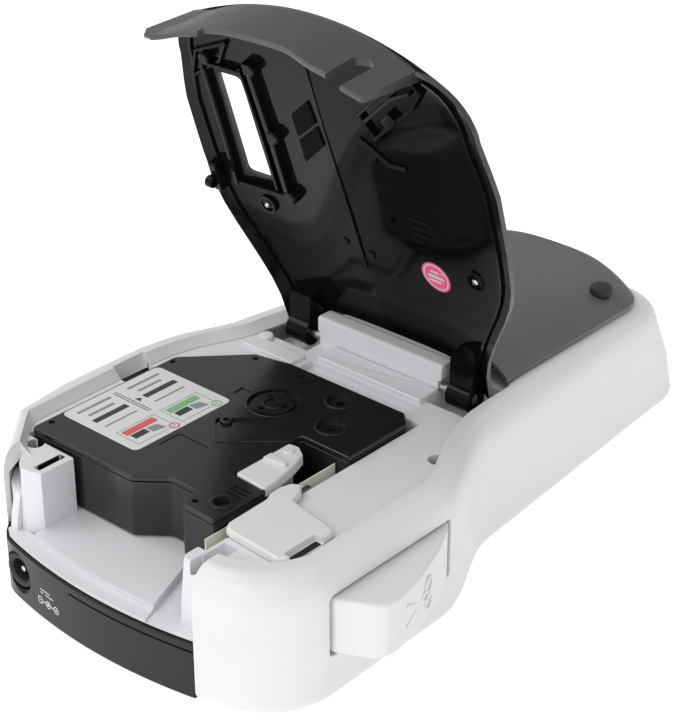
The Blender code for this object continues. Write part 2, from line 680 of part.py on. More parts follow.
def gear_outline(x, y, teeth, phase):
    """Straight-sided teeth, thinned so that a meshing pair keeps clear."""
    r = gear_r(teeth)
    pitch = 2 * math.pi / teeth
    found = []
    for i in range(teeth):
        a = phase + i * pitch
        for radius, share in ((r - 1.15 * MODULE, -0.29), (r + 0.85 * MODULE, -0.10), (r + 0.85 * MODULE, 0.10),
                              (r - 1.15 * MODULE, 0.29)):
            found.append((x + radius * math.cos(a + share * pitch), y + radius * math.sin(a + share * pitch)))
    return found


def gear(name, xy, teeth, direction, shaft=None):
    """A gear whose tooth space faces the idler's tooth on the line of centres."""
    x, y = xy
    angle = math.radians(direction)
    if teeth == IDLER_TEETH and direction == 0.0:
        phase = math.radians(ROLLER_DIR)
    else:
        idler_pitch = 2 * math.pi / IDLER_TEETH
        offset = (angle - math.radians(ROLLER_DIR)) / idler_pitch
        offset -= math.floor(offset)
        # the idler's nearest tooth lies offset pitches behind the line of centres
        phase = angle + math.pi + (0.5 + offset) * 2 * math.pi / teeth
    obj = add(name, prism(gear_outline(x, y, teeth, phase), GEAR_Z0, GEAR_Z1), "gear_white", (x, y, GEAR_Z0))
    if shaft:
        r, z0, z1 = shaft
        join(obj, disc(x, y, r, z0, z1, 16))
    return obj


def drive():
    gear("idler_gear", IDLER_XY, IDLER_TEETH, 0.0)
    gear("roller_gear", roller_xy(), ROLLER_TEETH, ROLLER_DIR, (1.6, GEAR_Z1 - 0.5, 35.0))
    gear("spindle_gear", spindle_xy(), SPINDLE_TEETH, SPINDLE_DIR, (1.7, GEAR_Z1 - 0.5, 31.0))
    gear("motor_pinion", pinion_xy(), PINION_TEETH, PINION_DIR)
    x, y = roller_xy()
    roller = add("platen_roller", disc(x, y, 3.2, 21.6, 34.0, 20), "rubber_black", (x, y, 21.6))
    cut(roller, disc(x, y, 1.9, 20, 36, 16))
    x, y = pinion_xy()
    motor = add("drive_motor", disc(x + 4.6, y, 7.4, CHASSIS_Z0 + 0.4, DECK_Z - 3.2, 24), "steel")
    return motor


# ---------------------------------------------------------------- print head, lever and cutter

def print_head():
    y = roller_xy()[1]
    edge = TAPE_X + 0.5
    add("print_head", box((edge, y - 5.0, FLOOR_Z + 1.0), (edge + 1.0, y + 5.0, 35.2)), "gear_white")
    return add("heat_sink", box((edge + 1.3, y - 6.2, FLOOR_Z + 0.4), (edge + 2.6, y + 6.2, 35.2)), "steel")


LEVER_PIVOT = (14.2, -45.0)


def release_lever():
    """White lever in the cassette's mouth that swings the tape towards the head as the lid shuts."""
    plate = [(12.6, -60.2), (22.2, -60.2), (20.6, -48.0), (19.3, -43.0), (16.0, -40.8), (12.6, -41.2)]
    leg = [(12.6, -58.0), (15.0, -58.0), (15.0, -42.0), (12.6, -42.0)]
    lever = add("release_lever", prism(plate, 36.2, 39.3), "gear_white", (*LEVER_PIVOT, 21.0))
    return join(lever, prism(leg, 21.0, 37.0))


def cutter_housing():
    plan = [(26.6, -77.8), (27.6, -79.8), (29.6, -80.6), (46.4, -81.6), (48.2, -80.0), (49.0, -70.0), (48.4, -63.4),
            (43.8, -62.2), (31.8, -60.0), (30.6, -56.0), (28.4, -53.2), (26.0, -54.4), (24.9, -57.6), (25.1, -61.5),
            (26.2, -64.0)]
    house = add("cutter_housing", prism(plan, DECK_Z + GAP, 38.8), "white_shell")
    return cut(house, box((46.4, -79.2, DECK_Z - 1), (50.0, -67.4, 38.0)))


def cutter_button():
    """A wedge that turns about its flush end, with an ear inside the wall on the pin."""
    x, y = BUTTON_PIVOT
    plan = [(57.2, -77.0), (60.6, -76.4), (69.4, -72.0), (71.0, -69.6), (71.4, -65.6), (69.6, -55.6), (65.4, -43.0),
            (60.8, -34.6), (58.4, -31.6), (54.2, -31.6), (54.2, -36.0), (57.2, -37.6)]
    button = add("cutter_button", prism(plan, BUTTON_Z0, BUTTON_Z1), "white_shell", (x, y, BUTTON_Z0))
    return cut(button, disc(x, y, 1.2, BUTTON_Z0 - 1, BUTTON_Z1 + 1, 16))


def pivot_pin():
    x, y = BUTTON_PIVOT
    return add("button_pivot_pin", disc(x, y, 0.9, BUTTON_Z0 - 2, BUTTON_Z1 + 0.9, 16), "steel")


def cutter_blade():
    return add("cutter_blade", prism([(30.6, -86.3), (49.6, -86.3), (49.6, -85.6), (29.8, -85.6)], 21.4, 29.6),
               "steel")


# ---------------------------------------------------------------- power and fixings

def cells():
    for i in range(CELL_COUNT):
        y = CELL_Y0 + CELL_PITCH * i
        cell = add(f"battery_cell_{i + 1}", rod("X", (0.0, y, CELL_Z), CELL_R, CELL_LEN, 20), "cell_jacket",
                   (0.0, y, CELL_Z))
        side = 1 if i % 2 else -1
        join(cell, rod("X", (side * (CELL_LEN / 2 + 0.4), y, CELL_Z), 1.8, 1.6, 12))
    y0, y1 = CELL_Y0 - 4.0, CELL_Y0 + CELL_PITCH * (CELL_COUNT - 1) + 4.0
    for name, side in (("left", -1), ("right", 1)):
        x0, x1 = sorted((side * (CELL_LEN / 2 + 1.6), side * (CELL_LEN / 2 + 2.2)))
        add(f"battery_contacts_{name}", box((x0, y0, CELL_Z - 4.0), (x1, y1, CELL_Z + 4.0)), "steel")


SCREWS = [(44.2, -18.2, 28.4), (-40.3, -82.8, 26.4)]


def screws():
    for i, (x, y, z) in enumerate(SCREWS):
        screw = add(f"case_screw_{i + 1}", disc(x, y, 2.0, z, z + 1.6, 20), "steel", (x, y, z))
        cut(screw, box((x - 1.1, y - 0.25, z + 1.0), (x + 1.1, y + 0.25, z + 3)),
            box((x - 0.25, y - 1.1, z + 1.0), (x + 0.25, y + 1.1, z + 3)))


def build():
    for obj in list(bpy.data.objects):
        bpy.data.objects.remove(obj, do_unlink=True)
    back_case()
    end_panel()
    dc_jack()
    front_cover()
    display()
    keypad()
    hard_keys()
    main_board()
    chassis()
    hinge_pins()
    cassette_lid()
    battery_cover()
    cassette()
    drive()
    print_head()
    release_lever()
    cutter_housing()
    cutter_button()
    pivot_pin()
    cutter_blade()
    cells()
    screws()


build()
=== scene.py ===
"""Studio scene of a handheld label maker lying on its keyboard face with the cassette lid open.

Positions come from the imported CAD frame. Pieces are drawn in millimetres (+Z up, -Y head end,
+X cutter side); lid pieces are drawn with the lid shut and then turned to its open rest place.
"""

import math

import bmesh
import bpy
from mathutils import Matrix, Vector


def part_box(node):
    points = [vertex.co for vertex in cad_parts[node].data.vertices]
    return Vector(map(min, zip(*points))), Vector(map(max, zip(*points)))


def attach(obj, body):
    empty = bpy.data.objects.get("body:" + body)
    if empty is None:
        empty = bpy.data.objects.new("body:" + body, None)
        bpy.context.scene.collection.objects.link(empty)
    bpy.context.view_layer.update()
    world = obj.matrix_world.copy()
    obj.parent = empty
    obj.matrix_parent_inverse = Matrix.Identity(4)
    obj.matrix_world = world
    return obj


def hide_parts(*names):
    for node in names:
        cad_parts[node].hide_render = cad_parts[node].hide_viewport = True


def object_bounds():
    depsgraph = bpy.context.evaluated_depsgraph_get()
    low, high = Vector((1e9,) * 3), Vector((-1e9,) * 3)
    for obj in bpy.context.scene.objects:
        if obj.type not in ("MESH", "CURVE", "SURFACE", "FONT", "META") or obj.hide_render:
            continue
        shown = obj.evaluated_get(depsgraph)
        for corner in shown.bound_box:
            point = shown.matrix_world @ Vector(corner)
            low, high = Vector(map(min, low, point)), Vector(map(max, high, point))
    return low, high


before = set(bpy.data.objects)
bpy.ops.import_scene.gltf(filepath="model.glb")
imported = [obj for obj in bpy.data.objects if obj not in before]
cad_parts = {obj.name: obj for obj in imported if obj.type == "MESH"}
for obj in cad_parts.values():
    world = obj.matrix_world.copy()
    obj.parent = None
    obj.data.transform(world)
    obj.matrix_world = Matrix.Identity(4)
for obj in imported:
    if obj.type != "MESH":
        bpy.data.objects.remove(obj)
FRAME_LO, FRAME_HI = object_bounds()
MM = 0.001


# ---------------------------------------------------------------- measures from the frame

def mm_box(node):
    """The node's box in millimetres: (x0, y0, z0), (x1, y1, z1)."""
    lo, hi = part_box(node)
    return [v / MM for v in lo], [v / MM for v in hi]


def mm_centre(node):
    """Plan centre of the node's box in millimetres."""
    lo, hi = mm_box(node)
    return (lo[0] + hi[0]) / 2, (lo[1] + hi[1]) / 2


CASE_LO, CASE_HI = mm_box("back_case")
HOUSE_LO, HOUSE_HI = mm_box("cutter_housing")
CAS_LO, CAS_HI = mm_box("cassette_cover")
CASE_BODY_LO, CASE_BODY_HI = mm_box("cassette_case")
STICKER_LO, STICKER_HI = mm_box("cassette_label")
PANEL_LO, PANEL_HI = mm_box("end_panel")
COVER_LO, COVER_HI = mm_box("battery_cover")
BUTTON_LO, BUTTON_HI = mm_box("cutter_button")
FACE_TOP = mm_box("front_cover")[1][2]
HEAD_Y = CASE_LO[1]
FAR_Y = CASE_HI[1] - 1.0
HEAD_HALF = CASE_HI[0]
RIM_Z = CASE_HI[2]
DECK_Z = HOUSE_LO[2] - 0.3
FLOOR_Z = CASE_BODY_LO[2] - 0.4
PIN_LO, PIN_HI = mm_box("hinge_pin_right")
HINGE_Y = (PIN_LO[1] + PIN_HI[1]) / 2
HINGE_Z = (PIN_LO[2] + PIN_HI[2]) / 2
OPEN_DEG = 72.5
WAIST_HALF, GRIP_HALF = HEAD_HALF - 13.7, HEAD_HALF - 20.2
HEAD_CORNER_Y = HEAD_Y + 25.0
WAIST_Y0, WAIST_Y1 = HEAD_Y + 69.0, HEAD_Y + 109.0
GRIP_CORNER_Y, SOFT_CORNER_Y = FAR_Y - 14.0, FAR_Y - 26.0
FAR_SLOPE = 0.33
HEAD_ARC_X, HEAD_SAG = 40.0, 5.1
SKIN_Z, SKIN_T = 39.8, 1.5


# ---------------------------------------------------------------- materials

def socket(node, *names):
    for name in names:
        if name in node.inputs:
            return node.inputs[name]
    raise KeyError(names[0])


def new_material(name):
    mat = bpy.data.materials.new(name)
    mat.use_nodes = True
    tree = mat.node_tree
    return mat, tree, tree.nodes["Principled BSDF"]


def noise(tree, coords, scale, detail=3.0):
    node = tree.nodes.new("ShaderNodeTexNoise")
    node.inputs["Scale"].default_value = scale
    node.inputs["Detail"].default_value = detail
    tree.links.new(coords.outputs["Object"], node.inputs["Vector"])
    return node.outputs["Fac"]


def ramp(tree, value, low, high):
    node = tree.nodes.new("ShaderNodeValToRGB")
    stops = node.color_ramp.elements
    stops[0].position, stops[1].position = 0.3, 0.7
    stops[0].color, stops[1].color = low, high
    tree.links.new(value, node.inputs["Fac"])
    return node.outputs["Color"]


def finish(name, colour, rough, bump, spread, specular=0.5, metallic=0.0, grain=900.0):
    """A moulded surface with a fine grain (bump is its depth) and a colour uneven by spread."""
    mat, tree, shader = new_material(name)
    coords = tree.nodes.new("ShaderNodeTexCoord")
    dark = tuple(c * (1 - spread) for c in colour) + (1.0,)
    light = tuple(min(1.0, c * (1 + spread)) for c in colour) + (1.0,)
    tree.links.new(ramp(tree, noise(tree, coords, 60.0), dark, light), shader.inputs["Base Color"])
    lo, hi = max(0.02, rough - 0.035), min(1.0, rough + 0.035)
    tree.links.new(ramp(tree, noise(tree, coords, 220.0), (lo, lo, lo, 1), (hi, hi, hi, 1)),
                   shader.inputs["Roughness"])
    shader.inputs["Metallic"].default_value = metallic
    socket(shader, "Specular IOR Level", "Specular").default_value = specular
    if bump:
        node = tree.nodes.new("ShaderNodeBump")
        node.inputs["Strength"].default_value = bump
        node.inputs["Distance"].default_value = 0.0002
        tree.links.new(noise(tree, coords, grain * 4, 2.0), node.inputs["Height"])
        tree.links.new(node.outputs["Normal"], shader.inputs["Normal"])
    return mat


# Each finish: name, colour, roughness, depth of the grain, unevenness of the colour.
MATS = {
    "white_shell": finish("shell_white", (0.72, 0.72, 0.712), 0.38, 0.05, 0.01),
    "grey_chassis": finish("chassis_grey", (0.70, 0.71, 0.73), 0.38, 0.05, 0.01),
    "lid_black": finish("lid_gloss", (0.005, 0.005, 0.006), 0.09, 0.0, 0.05, specular=0.13),
    # a darker copy of the lid gloss: painted dark reflection on the right part of the lid's inner face
    "lid_painted_dark_reflection": finish("lid_gloss_painted_dark_reflection", (0.0025, 0.0025, 0.0035), 0.07, 0.0, 0.05, specular=0.09),
    "lid_satin": finish("lid_satin", (0.050, 0.047, 0.045), 0.34, 0.06, 0.04),
    "cover_satin": finish("cover_satin", (0.110, 0.105, 0.106), 0.36, 0.06, 0.03),
    "panel_dark": finish("panel_satin", (0.014, 0.012, 0.012), 0.32, 0.06, 0.04, specular=0.26),
    "cassette_black": finish("cassette_satin", (0.013, 0.013, 0.016), 0.20, 0.015, 0.06),
    "label_paper": finish("sticker_paper", (0.70, 0.70, 0.70), 0.45, 0.01, 0.01),
    "pink_sticker": finish("sticker_pink", (0.80, 0.10, 0.25), 0.40, 0.01, 0.02),
    "rubber_black": finish("rubber", (0.018, 0.018, 0.018), 0.62, 0.10, 0.05),
    "foam_black": finish("foam", (0.005, 0.005, 0.005), 0.95, 0.4, 0.1, specular=0.1, grain=500.0),
    "clear_window": finish("window_clear", (0.20, 0.22, 0.23), 0.06, 0.0, 0.01),
    "lcd_grey": finish("lcd", (0.30, 0.36, 0.30), 0.25, 0.0, 0.02),
    "key_rubber": finish("keys", (0.10, 0.10, 0.11), 0.55, 0.08, 0.03),
    "key_light": finish("keys_light", (0.60, 0.61, 0.63), 0.45, 0.04, 0.02),
    "board_green": finish("board", (0.02, 0.16, 0.07), 0.45, 0.02, 0.08),
    "steel": finish("bare_steel", (0.60, 0.60, 0.60), 0.26, 0.02, 0.02, metallic=1.0),
    "cell_jacket": finish("cell_sleeve", (0.10, 0.11, 0.13), 0.32, 0.0, 0.05),
    "gear_white": finish("white_acetal", (0.70, 0.70, 0.71), 0.34, 0.03, 0.01),
    "tape_film": finish("tape_backing", (0.80, 0.79, 0.66), 0.38, 0.02, 0.02),
    "mark_white": finish("print_white", (0.62, 0.61, 0.59), 0.5, 0.0, 0.01),
    "mark_dark": finish("print_dark", (0.03, 0.03, 0.035), 0.5, 0.0, 0.02),
    "mark_green": finish("print_green", (0.20, 0.46, 0.20), 0.5, 0.0, 0.02),
    "mark_red": finish("print_red", (0.66, 0.11, 0.11), 0.5, 0.0, 0.02),
    "mark_grey": finish("print_grey", (0.25, 0.27, 0.28), 0.5, 0.0, 0.02),
    # painted shade: a near-black sheet that stands for the shaded inside of the cutter's blade slot
    "painted_slot_shade": finish("slot_painted_shade_black", (0.004, 0.004, 0.004), 0.7, 0.0, 0.05),
}

FINISH_NODES = {
    "white_shell": "back_case front_cover cutter_housing cutter_button",
    "panel_dark": "end_panel battery_cover",
    "rubber_black": "dc_jack ribbon_spool takeup_spool platen_roller",
    "clear_window": "display_window", "lcd_grey": "lcd_module", "key_rubber": "keypad",
    "board_green": "main_board", "grey_chassis": "chassis", "lid_black": "cassette_lid",
    "foam_black": "hold_down_pad", "cassette_black": "cassette_case cassette_cover",
    "label_paper": "cassette_label", "tape_film": "label_tape tape_spool",
    "gear_white": "print_head release_lever",
}
NODE_FINISH = {node: look for look, nodes in FINISH_NODES.items() for node in nodes.split()}


def node_finish(node):
    if node in NODE_FINISH:
        return NODE_FINISH[node]
    for part, found in (("foot", "rubber_black"), ("gear", "gear_white"), ("pinion", "gear_white"),
                        ("cell", "cell_jacket"), ("key", "key_light"), ("ring", "key_light")):
        if part in node:
            return found
    return "steel"


for node_name, node_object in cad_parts.items():
    for place in node_object.material_slots:
        place.material = MATS[node_finish(node_name)]


# ---------------------------------------------------------------- shape helpers (millimetres)

def smoothstep(t):
    t = min(1.0, max(0.0, t))
    return t * t * (3 - 2 * t)


def bezier(p0, p1, p2, count):
    found = []
    for i in range(1, count + 1):
        t = i / count
        a, b, c = (1 - t) ** 2, 2 * t * (1 - t), t * t
        found.append((a * p0[0] + b * p1[0] + c * p2[0], a * p0[1] + b * p1[1] + c * p2[1]))
    return found


def ccw(points):
    area = sum(a[0] * b[1] - b[0] * a[1] for a, b in zip(points, points[1:] + points[:1]))
    return points if area > 0 else points[::-1]


def fillet(points, radius, steps=5):
    """Rounds a plan's corners. radius is one number, or one for each corner."""
    count = len(points)
    radii = [radius] * count if not isinstance(radius, (list, tuple)) else radius
    found = []
    for i, p in enumerate(points):
        a, b = Vector(points[i - 1]), Vector(points[(i + 1) % count])
        p = Vector(p)
        u, v = a - p, b - p
        lu, lv = u.length, v.length
        u.normalize()
        v.normalize()
        angle = u.angle(v)
        r = radii[i]
        if r <= 0 or angle > math.radians(176):
            found.append((p.x, p.y))
            continue
        reach = min(r / math.tan(angle / 2), 0.48 * lu, 0.48 * lv)
        start, end = p + u * reach, p + v * reach
        found.append((start.x, start.y))
        found += bezier((start.x, start.y), (p.x, p.y), (end.x, end.y), steps)
    return found


def shrink(points, d):
    """Moves each side of a counter-clockwise plan inwards by d."""
    count = len(points)
    found = []
    for i, p in enumerate(points):
        p = Vector(p)
        e0 = (p - Vector(points[i - 1])).normalized()
        e1 = (Vector(points[(i + 1) % count]) - p).normalized()
        n0, n1 = Vector((-e0.y, e0.x)), Vector((-e1.y, e1.x))
        n = n0 + n1
        if n.length < 1e-6:
            n = n0
        n.normalize()
        q = p + n * (d / max(0.45, n.dot(n0)))
        found.append((q.x, q.y))
    return found


def loft(rings):
    bm = bmesh.new()
    made = [[bm.verts.new(p) for p in ring] for ring in rings]
    count = len(made[0])
    for low, high in zip(made, made[1:]):
        for i in range(count):
            j = (i + 1) % count
            bm.faces.new((low[i], low[j], high[j], high[i]))
    bm.faces.new(list(reversed(made[0])))
    bm.faces.new(made[-1])
    return bm


def prism(points, z0, z1):
    return loft([[(x, y, z) for x, y in points] for z in (z0, z1)])


def slab(points, z0, z1, top=0.4, low=0.0, steps=3):
    """A plan raised from z0 to z1 with rounded upper and lower edges."""
    points = ccw(points)
    rings = []
    if low:
        rings = [(z0 + low - low * math.cos(math.pi / 2 * i / steps),
                  low - low * math.sin(math.pi / 2 * i / steps)) for i in range(steps + 1)]
    else:
        rings.append((z0, 0.0))
    if top:
        rings += [(z1 - top + top * math.sin(math.pi / 2 * i / steps),
                   top - top * math.cos(math.pi / 2 * i / steps)) for i in range(steps + 1)]
    else:
        rings.append((z1, 0.0))
    return loft([[(x, y, z) for x, y in shrink(points, d)] for z, d in rings])


def pocket(points, z0, z1, edge=0.3):
    """A cutter that is flared at the surface z1, so that the hole gets a rounded edge."""
    points = ccw(points)
    rings = [(z0, 0.0), (z1 - edge, 0.0), (z1 - edge * 0.3, -edge * 0.3), (z1, -edge),
             (z1 + 6.0, -edge * 1.2)]
    return loft([[(x, y, z) for x, y in shrink(points, d)] for z, d in rings])


def rect(x0, y0, x1, y1, r=0.0):
    points = [(x0, y0), (x1, y0), (x1, y1), (x0, y1)]
    return fillet(points, r, 4) if r else points


def box(low, high):
    return prism(rect(low[0], low[1], high[0], high[1]), low[2], high[2])


def circle(x, y, r, count=40):
    angles = [2 * math.pi * i / count for i in range(count)]
    return [(x + r * math.cos(a), y + r * math.sin(a)) for a in angles]


def disc(x, y, r, z0, z1, top=0.0, low=0.0):
    return slab(circle(x, y, r), z0, z1, top, low)


def turn(bm, centre):
    """A quarter turn about the line along Y through the centre."""
    bmesh.ops.rotate(bm, verts=bm.verts, cent=centre, matrix=Matrix.Rotation(math.radians(90.0), 3, "Y"))
    return bm


def rod(centre, r, length, edge=0.0):
    """A round bar along X."""
    x, y, z = centre
    return turn(slab(circle(x, y, r, 32), z - length / 2, z + length / 2, edge, edge), centre)


def lathe(profile, x, y, count):
    """A body of turns about the vertical line at (x, y), through (r, z) points from low to high."""
    return loft([[(px, py, z) for px, py in circle(x, y, max(r, 0.01), count)] for r, z in profile])


def bored(x, z, profile, count=40):
    """A body of turns about the line along Y at (x, z), through (y, r) points."""
    return loft([[(px, y, pz) for px, pz in circle(x, z, r, count)] for y, r in profile])


def merge(*parts):
    first = parts[0]
    for part in parts[1:]:
        mesh = bpy.data.meshes.new("piece")
        part.to_mesh(mesh)
        part.free()
        first.from_mesh(mesh)
        bpy.data.meshes.remove(mesh)
    return first


def face_out(bm):
    """Turns all faces of a closed body outwards."""
    bmesh.ops.recalc_face_normals(bm, faces=bm.faces)
    if bm.calc_volume(signed=True) < 0:
        bmesh.ops.reverse_faces(bm, faces=bm.faces)


def add_object(name, data):
    obj = bpy.data.objects.new(name, data)
    bpy.context.scene.collection.objects.link(obj)
    return obj


def to_mesh(bm, name="mesh"):
    face_out(bm)
    mesh = bpy.data.meshes.new(name)
    bm.to_mesh(mesh)
    bm.free()
    return mesh


def shape(base, joins=(), cuts=()):
    """Joins and cuts bmeshes with the exact solver and returns one bmesh, in the units it was given."""
    holder = add_object("shape", to_mesh(base))
    tools = []
    for operation, parts in (("UNION", joins), ("DIFFERENCE", cuts)):
        for part in parts:
            tool = add_object("tool", to_mesh(part))
            modifier = holder.modifiers.new("step", "BOOLEAN")
            modifier.operation = operation
            modifier.solver = "EXACT"
            modifier.object = tool
            tools.append(tool)
    graph = bpy.context.evaluated_depsgraph_get()
    result = bmesh.new()
    result.from_object(holder, graph)
    for obj in [holder] + tools:
        mesh = obj.data
        bpy.data.objects.remove(obj, do_unlink=True)
        bpy.data.meshes.remove(mesh)
    bmesh.ops.remove_doubles(result, verts=result.verts, dist=0.002)
    return result


LID_TURN = (Matrix.Translation(Vector((0, HINGE_Y, HINGE_Z)))
            @ Matrix.Rotation(math.radians(-OPEN_DEG), 4, "X")
            @ Matrix.Translation(Vector((0, -HINGE_Y, -HINGE_Z))))


def washer(x, y, r, hole, z0, z1, top=0.0, low=0.0):
    return shape(disc(x, y, r, z0, z1, top, low), cuts=[disc(x, y, hole, z0 - 1, z1 + 1)])


def piece(name, bm, look, body, nodes=(), slot="", angle=32.0, paint=None):
    """Adds a finished piece in metres.

    The slot argument has no effect; the piece is given no slot.
    paint(face) may return another finish for a face.
    """
    looks = [look]
    if paint:
        face_out(bm)
        bm.normal_update()
    for face in bm.faces:
        other = paint(face) if paint else None
        if other and other not in looks:
            looks.append(other)
        face.material_index = looks.index(other) if other else 0
    if body == "lid":
        bmesh.ops.transform(bm, matrix=LID_TURN, verts=bm.verts)
    bmesh.ops.scale(bm, verts=bm.verts, vec=(MM, MM, MM))
    mesh = to_mesh(bm, name)
    obj = add_object(name, mesh)
    for found in looks:
        mesh.materials.append(MATS[found])
    mesh.shade_smooth()
    mesh.set_sharp_from_angle(angle=math.radians(angle))
    even = obj.modifiers.new("even_shading", "WEIGHTED_NORMAL")
    even.keep_sharp = True
    even.weight = 60
    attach(obj, body)
    if nodes:
        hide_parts(*nodes)
    if slot is not None:
        slot or look


# ---------------------------------------------------------------- outline of the case

def soften(bm, width, test, sharp=35.0):
    """Rounds the sharp edges whose two ends pass the test."""
    bm.normal_update()
    edges = []
    for edge in bm.edges:
        if len(edge.link_faces) != 2 or edge.calc_length() < 0.02:
            continue
        if edge.calc_face_angle(0.0) < math.radians(sharp):
            continue
        if all(test(v.co) for v in edge.verts):
            edges.append(edge)
    if edges:
        bmesh.ops.bevel(bm, geom=edges, offset=width, offset_type="OFFSET", segments=3, profile=0.5,
                        affect="EDGES", clamp_overlap=True)


def case_half(y):
    waist = HEAD_HALF - (HEAD_HALF - WAIST_HALF) * smoothstep((y - WAIST_Y0) / (WAIST_Y1 - WAIST_Y0))
    return waist - (WAIST_HALF - GRIP_HALF) * max(0.0, y - WAIST_Y1) / (GRIP_CORNER_Y - WAIST_Y1)


# The left head corner stops at the line CHAMFER_X * x + CHAMFER_Y * y = CHAMFER, with a soft change.
CHAMFER_X, CHAMFER_Y, CHAMFER, CHAMFER_SOFT = 0.747, 0.665, -92.8, 1.6
LEFT_WAIST = 4.0


def past(over, soft):
    """over where it is well above zero, none well below, and a smooth bend between."""
    return over if over > soft else max(0.0, over + soft) ** 2 / (4 * soft)


def left_side(x, y, inset):
    """Left twin of a right-hand outline point: fuller at the waist, and cut back at the head corner."""
    x = -x - LEFT_WAIST * smoothstep((y + 34.0) / 24.0) * (1 - smoothstep((y - 12.0) / 30.0))
    pull = past(0.5 * inset + CHAMFER - (CHAMFER_X * x + CHAMFER_Y * y), CHAMFER_SOFT)
    return (x + CHAMFER_X * pull, y + CHAMFER_Y * pull)


def case_outline(inset, head_in, far_in, soft=1.0):
    """The case's plan outline, moved in at the sides, at the head and at the grip."""
    head, far = HEAD_Y + head_in, FAR_Y - far_in
    arc_x = HEAD_ARC_X - 0.6 * inset
    half = [(arc_x * i / 10, head + HEAD_SAG * (i / 10) ** 2) for i in range(11)]
    corner_y = HEAD_CORNER_Y + 0.3 * head_in
    side = HEAD_HALF - inset
    half += bezier(half[-1], (side - 3.0, head + 7.5), (side, corner_y), 14)
    half += [(side, -58.0)]
    half += [(case_half(y) - inset, y) for y in
             [WAIST_Y0 + (WAIST_Y1 - WAIST_Y0) * i / 20 for i in range(21)]]
    corner_y = GRIP_CORNER_Y + (SOFT_CORNER_Y - GRIP_CORNER_Y) * soft - 0.3 * far_in
    half += [(case_half(y) - inset, y) for y in (30.0, 57.0, corner_y)]
    half += bezier(half[-1], (GRIP_HALF + 0.6 - inset, far + 0.4), (30.0 - 6.0 * soft, far + 0.6), 14)
    half += [(12.0, far + 0.8), (0.0, far + 1.0)]
    return half + [left_side(x, y, inset) for x, y in reversed(half[1:-1])]


def far_shift(z):
    return FAR_SLOPE * max(0.0, z - 8.0)


def case_ring(z, inset, head_in, far_in):
    soft = smoothstep((z - 10.0) / 20.0)
    return [(x, y, z) for x, y in case_outline(inset, head_in, far_in, soft)]


def panel_arc(x, y_in=0.0):
    arc = HEAD_Y + HEAD_SAG * (x / HEAD_ARC_X) ** 2
    return arc + y_in + past((CHAMFER - CHAMFER_X * x) / CHAMFER_Y - arc, 1.5 * CHAMFER_SOFT)


def panel_plan(x0, x1, y_in, depth, inner_y=None):
    xs = [x0 + (x1 - x0) * i / 30 for i in range(31)]
    outer = [(x, panel_arc(x, y_in)) for x in xs]
    return outer + [(x, panel_arc(x, y_in + depth) if inner_y is None else inner_y) for x in reversed(xs)]


PANEL_X0, PANEL_X1 = PANEL_LO[0], PANEL_HI[0]
PANEL_Z0, PANEL_Z1 = PANEL_LO[2], PANEL_HI[2]
JACK_LO, JACK_HI = mm_box("dc_jack")
JACK_X, JACK_Z = (JACK_LO[0] + JACK_HI[0]) / 2, (JACK_LO[2] + JACK_HI[2]) / 2
BUTTON_Z0, BUTTON_Z1 = BUTTON_LO[2], BUTTON_HI[2]
POST_Y = -95.5
SHELL_RINGS = [(0.0, 3.4, 3.4, 5.0), (0.35, 2.3, 2.3, 3.3), (0.9, 1.4, 1.4, 2.0), (1.8, 0.6, 0.6, 0.85),
               (2.8, 0.15, 0.15, 0.2), (3.8, 0.0, 0.0, 0.0), (17.0, 0.0, 0.0, 0.0), (30.0, 0.0, 0.0, 0.0),
               (32.0, 0.12, 0.10, 0.15), (34.0, 0.45, 0.4, 0.6), (35.6, 1.0, 0.85, 1.3),
               (37.0, 1.8, 1.4, 2.4), (38.1, 2.9, 2.2, 3.5), (38.9, 4.3, 3.2, 4.6),
               (39.35, 5.8, 4.1, 5.7), (39.5, 7.4, 5.0, 6.6)]


def back_case():
    body = loft([case_ring(z, i, h, f + far_shift(z)) for z, i, h, f in SHELL_RINGS])
    inside = [(-1.0, 6.5), (2.6, 6.5), (2.8, 2.4), (32.0, 2.4), (35.0, 9.0), (36.6, 9.0), (36.65, 10.7),
              (37.4, 9.9), (38.5, 8.9), (39.6, 8.2), (41.5, 8.1)]
    cavity = loft([case_ring(z, i, i, i + far_shift(z)) for z, i in inside])
    head = box((PANEL_X0 - 0.3, HEAD_Y - 6, PANEL_Z0 - 0.3), (PANEL_X1 + 0.3, HEAD_Y + 16, RIM_Z + 3))
    hinge = box((-37.6, 3.5, 33.0), (37.6, 22.0, RIM_Z + 3))
    notch = box((-52.6, -44.0, 34.6), (-46.0, -32.4, RIM_Z + 3))
    y0, y1, z0, z1 = -77.6, -31.3, BUTTON_Z0 - 0.8, BUTTON_Z1 + 0.8
    mouth = turn(prism(rect(-z1, y0, -z0, y1, 1.6), 50.0, 66.0), (0, 0, 0))
    bm = shape(body, cuts=[cavity, head, hinge, notch, mouth])
    soften(bm, 0.7, lambda c: c.y < -93 and c.z > 3.0 and (abs(c.x - PANEL_X0 + 0.3) < 0.1
                                                          or abs(c.x - PANEL_X1 - 0.3) < 0.1))
    soften(bm, 0.45, lambda c: c.x > 56.5 and y0 - 0.2 < c.y < y1 + 0.2 and z0 - 0.2 < c.z < z1 + 0.2)
    piece("shell", bm, "white_shell", "case", ["back_case"], angle=28)


